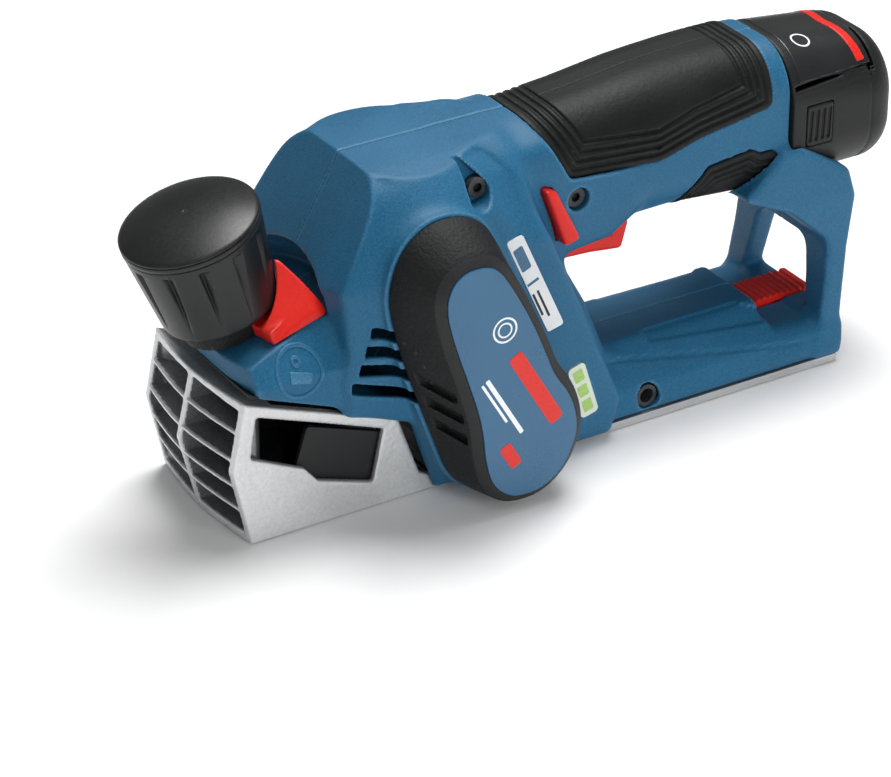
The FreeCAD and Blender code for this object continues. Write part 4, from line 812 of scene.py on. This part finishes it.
# ------------------------------------------------------------------ belt cover and its badge
def belt_cover():
    xs, ys, zs = axis(-63.0, 3.0, HF), axis(-55.8, -37.2, HF), axis(0.4, 100.0, HF)
    X, Y, Z = xs[:, None, None], ys[None, :, None], zs[None, None, :]
    f, g = poly(F_OUT, X, Z), poly(G_OUT, X, Z)
    t = np.clip((-Y - 38.0) / 14.2, 0, 1)
    t = t ** 1.35
    side = (1 - t) * g + t * f
    D = smax(side * 0.9, slab(Y, -55.0, -38.0), 0.6)
    D = smax(D, f * 0.60 + (-Y - 52.2) * 0.80, 0.5)                    # bevel of the front frame
    D = smax(D, -np.maximum(f + 3.15, Y + 54.25), 0.4)                 # recess of the badge
    inn = np.maximum(side + 4.2, slab(Y, -52.0, -30.0))
    tw = np.minimum(np.hypot(X + 30.0, Z - 49.0), np.hypot(X + 46.0, Z - 89.0))
    inn = np.maximum(inn, 3.2 - tw)
    D = np.maximum(D, -inn)
    for i in range(3):                                                  # slanted slots in the wide bevelled flank
        p0 = np.array([(-55.6, 50.6), (-53.9, 42.6), (-52.2, 34.8)][i])
        p1 = np.array([(-44.6, 43.0), (-41.9, 35.2), (-38.6, 26.2)][i])
        e = p1 - p0
        L = math.hypot(*e)
        u = ((X - p0[0]) * e[0] + (Z - p0[1]) * e[1]) / L
        v = (-(X - p0[0]) * e[1] + (Z - p0[1]) * e[0]) / L
        s = boxd(u, v, L / 2, 0.0, L / 2, 1.45, 0.7)
        D = smax(D, -np.maximum(s, np.maximum(slab(Y, -51.0, -41.5), -(side + 2.6))), 0.3)
    for c in ((-30.0, 49.0), (-46.0, 89.0)):
        D = np.maximum(D, -np.maximum(np.maximum(np.hypot(X - c[0], Z - c[1]) - 1.6, slab(Y, -50.6, -37)), side + 1.2))
    o = solid("Belt_cover_shell", D.astype(np.float32), (xs, ys, zs), [BLACK, FRAMEM], "housing", ("belt_cover",))
    me = o.data
    c = np.zeros(len(me.polygons) * 3, np.float32)
    me.polygons.foreach_get("center", c)
    me.polygons.foreach_set("material_index", (c.reshape(-1, 3)[:, 1] < -0.05230).astype(np.int32))
    # printed badge, a thin inlay following the rim
    plate("Badge_inlay", inset(F_OUT, 3.4), -54.9, -54.3, BADGE, "housing", ("belt_cover_badge",))
    # the two cover screws, sunk below the frame
    P = []
    Q = []
    for c in ((-30.0, 49.0), (-46.0, 89.0)):
        for r0, r1, y0, y1 in ((1.45, 1.45, -50.4, -38.3),):
            k = len(P)
            for y, r in ((y0, r0), (y1, r1)):
                for a in range(24):
                    P.append((c[0] + r * math.cos(a * math.pi / 12), y, c[1] + r * math.sin(a * math.pi / 12)))
            for a in range(24):
                b = (a + 1) % 24
                Q.append((k + a, k + b, k + 24 + b, k + 24 + a))
            for base, fl in ((k, 0), (k + 24, 1)):
                m = len(P)
                P.append((c[0], y0 if not fl else y1, c[1]))
                for a in range(0, 24, 2):
                    q = (m, base + a + 2 if a < 22 else base, base + a + 1, base + a)
                    Q.append(q if not fl else q[::-1])
    mesh("Cover_screws", P, Q, SCREW, "housing", ("belt_cover_screws",))
    return o


belt_cover()


# ------------------------------------------------------------------ surfaces of revolution about the spindle
def turned(name, prof, body, mat, nodes, flutes=None, n=240, m=None):
    """Closed profile of (r, s) pairs round the spindle; flutes(r, s, angle) gives a cut depth."""
    P = np.asarray(prof, float)
    th = np.linspace(0, 2 * math.pi, n, endpoint=False)
    R, S, T = P[:, 0][:, None] + 0 * th, P[:, 1][:, None] + 0 * th, th[None, :] + 0 * P[:, 0][:, None]
    if flutes is not None:
        R = R - flutes(R, S, T)
    x = KO[0] + EX * R * np.cos(T) + KX * S
    y = R * np.sin(T)
    z = KO[2] + EZ * R * np.cos(T) + KZ * S
    V = np.stack([x, y, z], -1).reshape(-1, 3)
    k = len(P)
    i, j = np.meshgrid(np.arange(k), np.arange(n), indexing="ij")
    a = i * n + j
    b = i * n + (j + 1) % n
    c = ((i + 1) % k) * n + (j + 1) % n
    d = ((i + 1) % k) * n + j
    F = np.stack([a, d, c, b], -1).reshape(-1, 4)
    return mesh(name, V, F, mat, body, nodes)


def line(a, b, n):
    return [(a[0] + (b[0] - a[0]) * t / n, a[1] + (b[1] - a[1]) * t / n) for t in range(n)]


def knob_flutes(R, S, T):
    u = np.clip((S - 6.0) / 24.0, 0, 1)
    w = 0.035 + 0.100 * u                                              # half width of the notch grows upwards
    k = 12
    p = np.mod(T + 0.13, 2 * math.pi / k) - math.pi / k
    side = np.where(p > 0, np.clip(1 - p / (w * 1.0), 0, 1), np.clip(1 + p / (w * 0.32), 0, 1))
    deep = 1.65 * np.clip((S - 7.0) / 16.0, 0, 1) * np.clip((31.4 - S) / 0.9, 0, 1)
    return np.where(R > 17.0, side * deep, 0.0)


prof = [(3.1, 4.0)] + line((3.1, 4.0), (17.2, 4.0), 6) + [(17.9, 4.25), (18.4, 5.0)] + line((18.5, 5.4), (21.6, 31.0), 60) \
    + line((21.6, 31.0), (21.75, 32.9), 5) + [(21.75, 33.0), (21.5, 33.2)] + line((21.5, 33.2), (3.1, 33.2), 6) + line((3.1, 33.2), (3.1, 4.0), 6)
turned("Knob_body", prof, "knob", KNOBM, ("depth_knob",), knob_flutes, n=720)
prof = [(16.0, 33.35)] + line((16.0, 33.35), (21.4, 33.35), 3) + [(21.7, 33.4), (22.0, 33.6), (22.0, 34.9), (21.8, 35.15)] + line((21.6, 35.2), (16.0, 35.2), 3) + line((16.0, 35.2), (16.0, 33.35), 3)
turned("Knob_scale_ring", prof, "knob", KNOBM, ("depth_scale_ring",), None, n=240)
cap = [(0.0005, 33.3)] + line((0.1, 33.3), (15.9, 33.3), 4) + line((15.9, 33.3), (15.9, 35.25), 3) + line((15.9, 35.3), (21.6, 35.3), 3)
cap += [(21.95, 35.45), (22.0, 35.8), (21.75, 36.2)]
for k in range(1, 30):
    t = k / 29
    r = 21.5 * (1 - t)
    cap.append((max(r, 0.0005), 36.35 + 3.55 * (1 - (r / 21.5) ** 2.2)))
turned("Knob_cap_dome", cap, "knob", KNOBM, ("knob_cap",), None, n=240)


# ------------------------------------------------------------------ chip lever
def lever():
    xs, ys, zs = axis(-112.0, -60.0, HG), axis(-33.5, 15.0, HG), axis(48.0, 90.0, HG)
    X, Y, Z = xs[:, None, None], ys[None, :, None], zs[None, None, :]
    e = (X - KO[0]) * EX + (Z - KO[2]) * EZ
    s = (X - KO[0]) * KX + (Z - KO[2]) * KZ + 0 * Y
    q = np.hypot(e, Y)
    az = np.degrees(np.arctan2(Y + 0 * e, e + 0 * Y))
    D = np.maximum(np.maximum(q - 14.0, 9.06 - q), slab(s, -2.6, 3.0))
    wedge = np.maximum(np.radians(-az - 79.0), np.radians(az + 22.0)) * q
    plate = np.maximum(smax(q - 23.0, 13.5 - q, 0.3), slab(s, -2.6, 1.6))
    D = np.minimum(D, np.maximum(plate, wedge))
    # vane: a block that fills the pocket beside the knob, its top sloping down to a thin front tip
    env = poly([(18.9, -2.6), (32.3, -2.6), (32.3, 2.4), (25.1, 13.8), (20.0, 13.8), (18.9, 3.0)], q, s)
    top = (s - (19.3 + 0.159 * e + 0.944 * Y)) / 1.384
    right = 0.952 * (e - 24.2) + 0.307 * (Y + 23.0)
    chord = -23.2 - Y + 0 * q
    ends = np.maximum(np.radians(-az - 79.0), np.radians(az + 22.0)) * q
    low = (s - (10.6 - 0.42 * (e - 6.0) + 1.10 * (Y + 19.0))) / 1.54   # steeper lower facet
    body = smax(smax(env, right, 0.9), smax(chord, ends, 0.8), 0.9)
    vane = smax(body, top, 0.8)
    vane = smax(vane, low, 0.4)
    D = smin(D, vane, 0.8)
    D = np.maximum(D, np.where(q > 13, np.maximum(np.where(e > -6, chord, -9.0), -9.0), -9.0))
    D = np.maximum(D, np.where(s > 3.2, 20.0 + 0.121 * np.clip(s - 5.4, 0, 20) - 1.0 - q, -9.0))
    o = solid("Chip_lever_vane", D.astype(np.float32), (xs, ys, zs), [RED, BLACK], "lever", ("chip_lever",))
    # the hub under the knob is painted black as painted shade in the gap under the knob
    me = o.data
    c = np.zeros(len(me.polygons) * 3, np.float32)
    me.polygons.foreach_get("center", c)
    c = c.reshape(-1, 3) / MM
    ce = (c[:, 0] - KO[0]) * EX + (c[:, 2] - KO[2]) * EZ
    az = np.degrees(np.arctan2(c[:, 1], ce))
    me.polygons.foreach_set("material_index", ((np.hypot(ce, c[:, 1]) < 14.4) & ((az < -79) | (az > -22))).astype(np.int32))


lever()


# ------------------------------------------------------------------ front shoe
SHOE = [(-105.0, 0.0), (-110.4, 26.5), (-105.6, 49.0), (-52.9, 28.5), (-45.6, 7.2), (-38.8, 3.0), (-35.2, 2.4), (-35.2, 0.0)]
WIN = [(-102.0, 43.6, 1), (-79.7, 35.0, 1), (-58.0, 26.4, 1), (-62.0, 8.6, 1), (-81.3, 15.2, 2), (-86.0, 20.9, 1), (-104.3, 29.8, 1)]


def shoe():
    xs, ys, zs = axis(-115.5, -34.0, HF * 1.1), axis(-29.8, 29.8, HF * 1.1), axis(-0.8, 52.0, HF * 1.1)
    X, Y, Z = xs[:, None, None], ys[None, :, None], zs[None, None, :]
    A = np.abs(Y)
    f = 3.8 * (1 - (A / 29.0) ** 1.6)
    f = np.where(A < 29, f, 0)
    w = np.clip((-X - 96.0) / 8.0, 0, 1)
    Xw = X + f * w * np.interp(Z.ravel(), [0, 26.5, 49], [0.8, 1.0, 0.8]).reshape(Z.shape)
    D = smax(poly(rnd(SHOE), Xw, Z), A - 29.0 + 0 * Xw, 0.5)
    cham = np.maximum(poly([(-102.7, 2.7), (-107.5, 26.5), (-103.2, 45.2), (-55.0, 26.4), (-48.6, 8.0), (-48.6, 2.7)], X, Z),
                      poly(rnd([(-101.5, -27), (-85.0, 0, 6), (-101.5, 27), (-28, 27), (-28, -27)]), X, Y))
    cham = np.maximum(cham, A - 26.4)
    c2 = np.maximum(np.maximum(slab(X, -64, -40), slab(Z, 3.2, 25.6)), A - 26.4)
    cham = np.minimum(cham, c2)
    D = smax(D, -cham, 0.4)
    # ribbed pockets either side of the middle web
    pk = poly(rnd([(-125, 26.3), (-125, 1.1), (-90.2, 1.3, 4), (-105.2, 26.3)]), X, A)
    top = poly([(-130, 3.2), (-130, 49), (-112, 48.3), (-107, 46.2), (-84, 37.4), (-84, 3.2)], X, Z)
    pk = smax(pk, top, 1.2)
    for zz in (9.6, 18.6, 27.6, 36.6):
        rib = slab(Z + (X + 110) * 0.075, zz + 1.85, zz + 3.1)
        rib = np.maximum(rib, X + 98.5)
        pk = smax(pk, -rib + 0 * pk, 0.5)
    D = smax(D, -pk, 0.35)
    D = smax(D, -np.maximum(poly(rnd(WIN), X, Z), 25.0 - A), 0.35)
    e = (X - KO[0]) * EX + (Z - KO[2]) * EZ
    s = (X - KO[0]) * KX + (Z - KO[2]) * KZ
    lid = poly([(-110, 0), (-110, 50.7), (-105.6, 49.0), (-52.9, 28.5), (-52, 0)], X, Z)
    for (ee, yy, r, s0, s1) in ((0, 0, 6.0, -38.0, -16.0), (14.0, 19.0, 4.0, -42.0, -18.0), (14.0, -19.0, 4.0, -42.0, -18.0)):
        q = np.hypot(e - ee, Y - yy)
        D = np.minimum(D, np.maximum(np.maximum(q - r, slab(s, s0, s1) + 0 * q), lid))
    D = np.maximum(D, -(np.hypot(e, Y) - 3.1))
    for yy in (19.0, -19.0):
        D = np.maximum(D, -np.maximum(np.hypot(e - 14.0, Y - yy) - 2.1, slab(s, -50, -20) + 0 * Y))
    D = np.maximum(D, -np.maximum(np.hypot(X + 75.0, Y) - 2.1, slab(Z, 10, 50) + 0 * Y))
    for yy in (-16.0, 0.0, 16.0):
        D = np.maximum(D, -((np.abs(Y - yy) * 0.72 + (Z - 1.2) * 0.7) + 0 * X))
    o = solid("Shoe_casting", D.astype(np.float32), (xs, ys, zs), [ALU, CAST_SHADE, SEAL_AND_SHADOW], "shoe", ("front_shoe",))
    # pocket faces get a darker metal as painted shade, and the chip chamber behind them is painted black as painted
    # shadow
    me = o.data
    n = len(me.polygons)
    c = np.zeros(n * 3, np.float32)
    me.polygons.foreach_get("center", c)
    c = c.reshape(-1, 3) / MM
    a = np.abs(c[:, 1])
    f = np.where(a < 29, 3.8 * (1 - (np.minimum(a, 29.0) / 29.0) ** 1.6), 0)
    xw = c[:, 0] + f * np.clip((-c[:, 0] - 96.0) / 8.0, 0, 1) * np.interp(c[:, 2], [0, 26.5, 49], [0.8, 1.0, 0.8])
    d = poly(rnd(SHOE), xw, c[:, 2])
    # pocket: faces inside the pockets, painted darker as shade; deep: faces in the chamber, painted black as shadow
    pocket = (d < -0.9) & (a < 27.2)
    deep = (c[:, 0] > -97.5 + 0.34 * (26.4 - a)) & (a < 26.3) & (c[:, 2] > 3.3) & (c[:, 2] < 45.0)
    me.polygons.foreach_set("material_index", np.where(deep, 2, np.where(pocket, 1, 0)).astype(np.int32))



shoe()


# ------------------------------------------------------------------ battery pack
def battery():
    xs, ys, zs = axis(43.0, 140.2, HF * 1.15), axis(-24.6, 24.6, HF * 1.15), axis(61.6, 114.6, HF * 1.15)
    X, Y, Z = xs[:, None, None], ys[None, :, None], zs[None, None, :]
    A = np.abs(Y)
    top = 112.2 - 0.115 * np.clip(X - 98.0, 0, 60)
    yz = boxd(Y, Z, 0, (top + 62.6) / 2, 23.6, (top - 62.6) / 2, 18.5)
    # end cap rolls over in a wide radius
    u = np.maximum(X - 130.6, 0)
    D = np.maximum(yz + 9.5 * (1 - np.sqrt(np.clip(1 - (u / 9.6) ** 2, 0, 1))), X - 139.4)
    D = smax(D, X - 139.3 + 0 * D, 1.5)
    D = smax(D, 97.6 - X + 0 * D, 0.6)
    # one narrow groove round the body near the rear end
    band = np.clip(1 - np.abs(X - 128.6) / 0.45, 0, 1) * 0.5
    D = D + band
    stick = smax(boxd(Y, Z, 0, 87.6, 18.2, 17.9, 9.6), slab(X, 44.0, 98.0), 0.8)
    D = np.minimum(D, stick)
    D = np.maximum(D, -np.maximum(boxd(Y, Z, 0, 87.6, 17.0, 16.7, 8.8), slab(X, 45.2, 105)))
    D = np.maximum(D, -np.maximum(boxd(Y, Z, 0, 86.4, 21.4, 21.6, 13), slab(X, 99.8, 131)))
    lb = np.maximum(np.maximum(slab(X, 102.7, 113.3), slab(Z, 78.7, 93.3)), 20 - A)
    D = np.maximum(D, -lb)
    # dark slot under the printed panel, and the line round the body
    D = smax(D, -np.maximum(np.maximum(slab(X, 98.5, 118.5), slab(Z - 0.06 * (X - 100), 98.8, 100.4)), 20.6 - A), 0.3)
    D = D + np.clip(1 - np.abs(Z - 97.2) / 0.35, 0, 1) * 0.25 * (A > 15) * (X > 98)
    solid("Battery_housing", D.astype(np.float32), (xs, ys, zs), BATM, "battery", ("battery_case",))
    # printed panel over the top and shoulder, with a red band at its rear end and a plain ring
    xs, ys, zs = axis(98.5, 131.0, HG), axis(-24.6, 24.6, HG), axis(96.0, 114.0, HG)
    X, Y, Z = xs[:, None, None], ys[None, :, None], zs[None, None, :]
    A = np.abs(Y)
    top = 112.2 - 0.115 * np.clip(X - 98.0, 0, 60)
    yz = boxd(Y, Z, 0, (top + 62.6) / 2, 23.6, (top - 62.6) / 2, 18.5)
    u = np.maximum(X - 130.6, 0)
    skin = np.maximum(yz - 0.35, -yz - 1.2)
    P1 = smax(skin, np.maximum(slab(X, 100.6, 129.6), 101.2 - Z), 0.3)
    band = np.maximum(slab(X - 0.10 * A, 122.4, 125.8), 102.4 - Z)
    solid("Battery_panel", P1.astype(np.float32), (xs, ys, zs), GLOSS, "battery", ("battery_label",), steps=2)
    P2 = smax(np.maximum(yz - 0.55, -yz - 0.9), band, 0.1)
    solid("Battery_red_band", P2.astype(np.float32), (xs, ys, zs), RED, "battery", steps=2)


battery()


def latch(side):
    xs, ys, zs = axis(102.3, 113.8, 0.3), axis(20.0, 24.4, 0.3), axis(78.2, 93.8, 0.3)
    X, Y, Z = xs[:, None, None], ys[None, :, None], zs[None, None, :]
    D = smax(boxd(X, Z, 108.0, 86.0, 5.0, 7.0, 1.0), slab(Y, 20.6, 23.8), 0.5)
    for i in range(4):
        x = 104.4 + i * 2.4
        D = smax(D, -np.maximum(boxd(X - (Z - 86) * 0.04, Z, x, 86.0, 0.6, 5.4, 0.55), 23.05 - Y), 0.2)
    nm = "Latch_near" if side < 0 else "Latch_far"
    b = "latch_left" if side < 0 else "latch_right"
    solid(nm, D.astype(np.float32), (xs, ys, zs), BATM, b, ("battery_" + b,), None, flip=side < 0)


latch(-1)
latch(1)


# ------------------------------------------------------------------ trigger, lock-off, key holder
def trigger():
    xs, ys, zs = axis(17.5, 47.5, HF), axis(-11.0, 11.0, HF), axis(50.5, 69.5, HF)
    X, Y, Z = xs[:, None, None], ys[None, :, None], zs[None, None, :]
    TR = [(19.6, 53.8, 2), (31.0, 53.2, 10), (43.2, 51.6, 2), (45.8, 60.8, 2), (43.6, 66.0, 2), (20.0, 68.0, 3), (18.4, 60.5, 3)]
    p = poly(rnd(TR), X, Z)
    D = smax(p, np.abs(Y) - 8.0, 2.2)
    D = np.maximum(D, -np.maximum(poly([(24.8, 61.0), (42.6, 58.5), (42.4, 70.0), (24.8, 70.0)], X, Z), np.abs(Y) - 6.3))
    D = np.maximum(D, -np.maximum(np.maximum(slab(X, 33, 39), slab(Z, 58, 66)), np.abs(Y) - 9))
    q = np.hypot(X - 21.5, Z - 64.2)
    D = np.minimum(D, np.maximum(q - 2.0, np.abs(Y) - 10.2))
    D = np.minimum(D, np.maximum(q - 3.4, np.abs(Y) - 8.0))
    solid("Trigger_rocker", D.astype(np.float32), (xs, ys, zs), RED, "trigger", ("trigger",))


trigger()


def lock_off():
    xs, ys, zs = axis(0.4, 16.4, 0.4), axis(-28.6, 22.2, 0.4), axis(68.2, 92.4, 0.4)
    X, Y, Z = xs[:, None, None], ys[None, :, None], zs[None, None, :]
    p = poly(rnd(LOCK), X, Z)
    D = smax(p, slab(Y, -27.0, -16.5) + 0 * p, 1.6)
    D = np.minimum(D, smax(p, slab(Y, 15.0, 21.2) + 0 * p, 1.2))
    D = np.minimum(D, np.maximum(np.hypot(X - 6.3, Z - 84.0) - 2.2, slab(Y, -17, 16)))
    solid("Lock_off_bar", D.astype(np.float32), (xs, ys, zs), RED, "lock_off", ("lock_off_button",))


lock_off()


def key_holder():
    xs, ys, zs = axis(94.4, 120.0, 0.4), axis(-7.9, 7.9, 0.4), axis(9.6, 18.2, 0.4)
    X, Y, Z = xs[:, None, None], ys[None, :, None], zs[None, None, :]
    top = 17.5 - 1.0 * np.clip((103.0 - X) / 9.0, 0, 1) ** 2
    D = smax(smax(boxd(X, Y, 107.2, 0, 12.2, 7.35, 0.8), Z - top, 0.6), 10.1 - Z, 0.3)
    for i in range(9):
        x = 97.6 + i * 2.35
        D = D + np.clip(1 - np.abs(X - x) / 0.75, 0, 1) * 0.75 * np.clip((Z - 16.0) / 0.8, 0, 1)
    D = np.maximum(D, -np.maximum(np.hypot(Y, Z - 12.9) - 1.85, slab(X, 90, 106)))
    D = np.maximum(D, -np.maximum(np.maximum(slab(X, 103.8, 107.8), slab(Z, 10.9, 14.8)), Y - 2.0))
    solid("Key_holder_slide", D.astype(np.float32), (xs, ys, zs), RED, "key_holder", ("key_holder",))


key_holder()

# ------------------------------------------------------------------ plain printed marks: no lettering
UP = (-0.50, 0.866)
torus("Badge_ring", (BR[0], -54.95, BR[1]), 4.0, 0.34, 0.10, WHITE, "housing")
torus("Badge_ring_inner", (BR[0], -54.95, BR[1]), 2.3, 0.30, 0.10, WHITE, "housing")
for i, (c, L, W, m) in enumerate(BARS):
    plate("Badge_bar_%d" % i, quad(c, UP, L, W, min(L, W) * 0.3), -55.02, -54.8, m, "housing", bevel=0.03)
for i, (c, L, W, m) in enumerate(LBARS):
    plate("Label_bar_%d" % i, quad(c, LAX, L, W, min(L, W) * 0.2), LY - 0.06, LY + 0.2, m, "housing", bevel=0.02)
for i, t in enumerate((0.2, 0.5, 0.8)):
    c = (8.5 + (14.2 - 8.5) * t, 31.3 + (12.4 - 31.3) * t)
    plate("Charge_cell_%d" % i, quad(c, (5.9, -18.9), 4.3, 3.6, 0.5), GY - 0.10, GY + 0.2, GREEN, "housing", bevel=0.03)
V, F = [], []
for i in range(72):                                                     # plain ring on the battery's printed panel
    a = 2 * math.pi * i / 72
    for j in range(10):
        b = 2 * math.pi * j / 10
        q = 3.0 + 0.34 * math.cos(b)
        ph = math.atan2(5.6, 17.9) - q * math.sin(a) / 18.9
        rad = 18.86 + 0.12 * math.sin(b)
        x = 108.1 + q * math.cos(a)
        V.append((x, -5.1 - rad * math.sin(ph), 112.2 - 0.115 * (x - 98.0) - 18.5 + rad * math.cos(ph)))
        F.append((i * 10 + j, i * 10 + (j + 1) % 10, ((i + 1) % 72) * 10 + (j + 1) % 10, ((i + 1) % 72) * 10 + j))
mesh("Battery_ring", V, F, WHITE, "battery")
bpy.context.view_layer.update()


def drape(o, y0=-30.55):
    """Lays a raised mark on the flank of the deck, which leans inwards above z = 53."""
    for v in o.data.vertices:
        x, z = v.co.x / MM, v.co.z / MM
        y = -30.6 + 0.661 * max(z - 53.0, 0.0)
        ok, p, n_, f_ = hn.ray_cast((v.co.x, (y - 3.0) * MM, v.co.z), (0, 1, 0))
        if ok and abs(p.y / MM - y) < 1.6:
            y = p.y / MM
        v.co.y = (y - 0.12) * MM + (v.co.y - y0 * MM)
    return o


drape(torus("Deck_mark_ring", (-87.0, -30.55, 54.8), 7.4, 0.60, 0.42, BLUE, "housing"))
drape(plate("Deck_mark_bar", quad((-87.0, 53.4), (1, -0.25), 7.2, 3.2, 0.6), -30.95, -30.2, BLUE, "housing", bevel=0.2))
drape(torus("Deck_mark_dot", (-87.3, -30.55, 58.0), 1.1, 0.5, 0.40, BLUE, "housing", n=32))

# ------------------------------------------------------------------ camera, light and floor
sc = bpy.context.scene
cam = bpy.data.objects.new("Camera", bpy.data.cameras.new("Camera"))
sc.collection.objects.link(cam)
cam.data.sensor_width = 36.0
cam.data.lens = 148.86
cam.data.shift_x, cam.data.shift_y = -0.0556, 0.0284
from mathutils import Vector, Matrix
B_ = Vector((-0.4568, -0.7365, 0.4989)).normalized()
R_ = Vector((0.8498, -0.5271, 0.0)).normalized()
U_ = B_.cross(R_).normalized()
cam.matrix_world = Matrix((R_, U_, B_)).transposed().to_4x4()
cam.location = B_ * 1.1919
cam.data.clip_start, cam.data.clip_end = 0.01, 50.0
sc.camera = cam
sc.view_settings.view_transform = "Standard"
sc.view_settings.look = "None"

lo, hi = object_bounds()
fm = bpy.data.meshes.new("Floor")
S = 6.0
fm.from_pydata([(-S, -S, lo.z - 0.0004), (S, -S, lo.z - 0.0004), (S, S, lo.z - 0.0004), (-S, S, lo.z - 0.0004)], [], [(0, 1, 2, 3)])
floor = bpy.data.objects.new("Floor", fm)
sc.collection.objects.link(floor)
fmat = finish_mat("pale_floor", "F4F4F4", 0.65, grain=60, depth=0.00002, grain_amt=0.02, mottle=0.01, rvar=0.03, spec=0.2)
fm.materials.append(fmat)


def area(name, loc, size, power, col=(1, 1, 1), aim=(0, 0, 0.05), size_y=None, mirror=True):
    li = bpy.data.lights.new(name, "AREA")
    li.energy, li.size, li.color = power, size, col
    li.shape = "RECTANGLE"
    li.size_y = size_y or size
    o = bpy.data.objects.new(name, li)
    sc.collection.objects.link(o)
    o.location = loc
    o.rotation_mode = "QUATERNION"
    o.rotation_quaternion = (Vector(aim) - Vector(loc)).to_track_quat("-Z", "Y")
    o.visible_glossy = mirror
    return o


area("Key_soft", (-0.45, -0.45, 1.15), 0.40, 0.7)
area("Top_soft", (0.25, 0.25, 1.22), 0.70, 19.0)
area("Fill_soft", (0.30, -1.30, 0.42), 0.5, 5.5, mirror=False)
area("Fill_low", (-0.45, -1.25, 0.25), 0.4, 3.6, mirror=False)
area("Fill_rear", (1.25, -0.35, 0.55), 0.4, 2.2, mirror=False)
area("Left_strip", (-1.15, -0.15, 0.30), 0.15, 0.35, size_y=0.8)
w = bpy.data.worlds.new("World")
sc.world = w
w.use_nodes = True
w.node_tree.nodes["Background"].inputs[0].default_value = (1, 1, 1, 1)
w.node_tree.nodes["Background"].inputs[1].default_value = 0.20
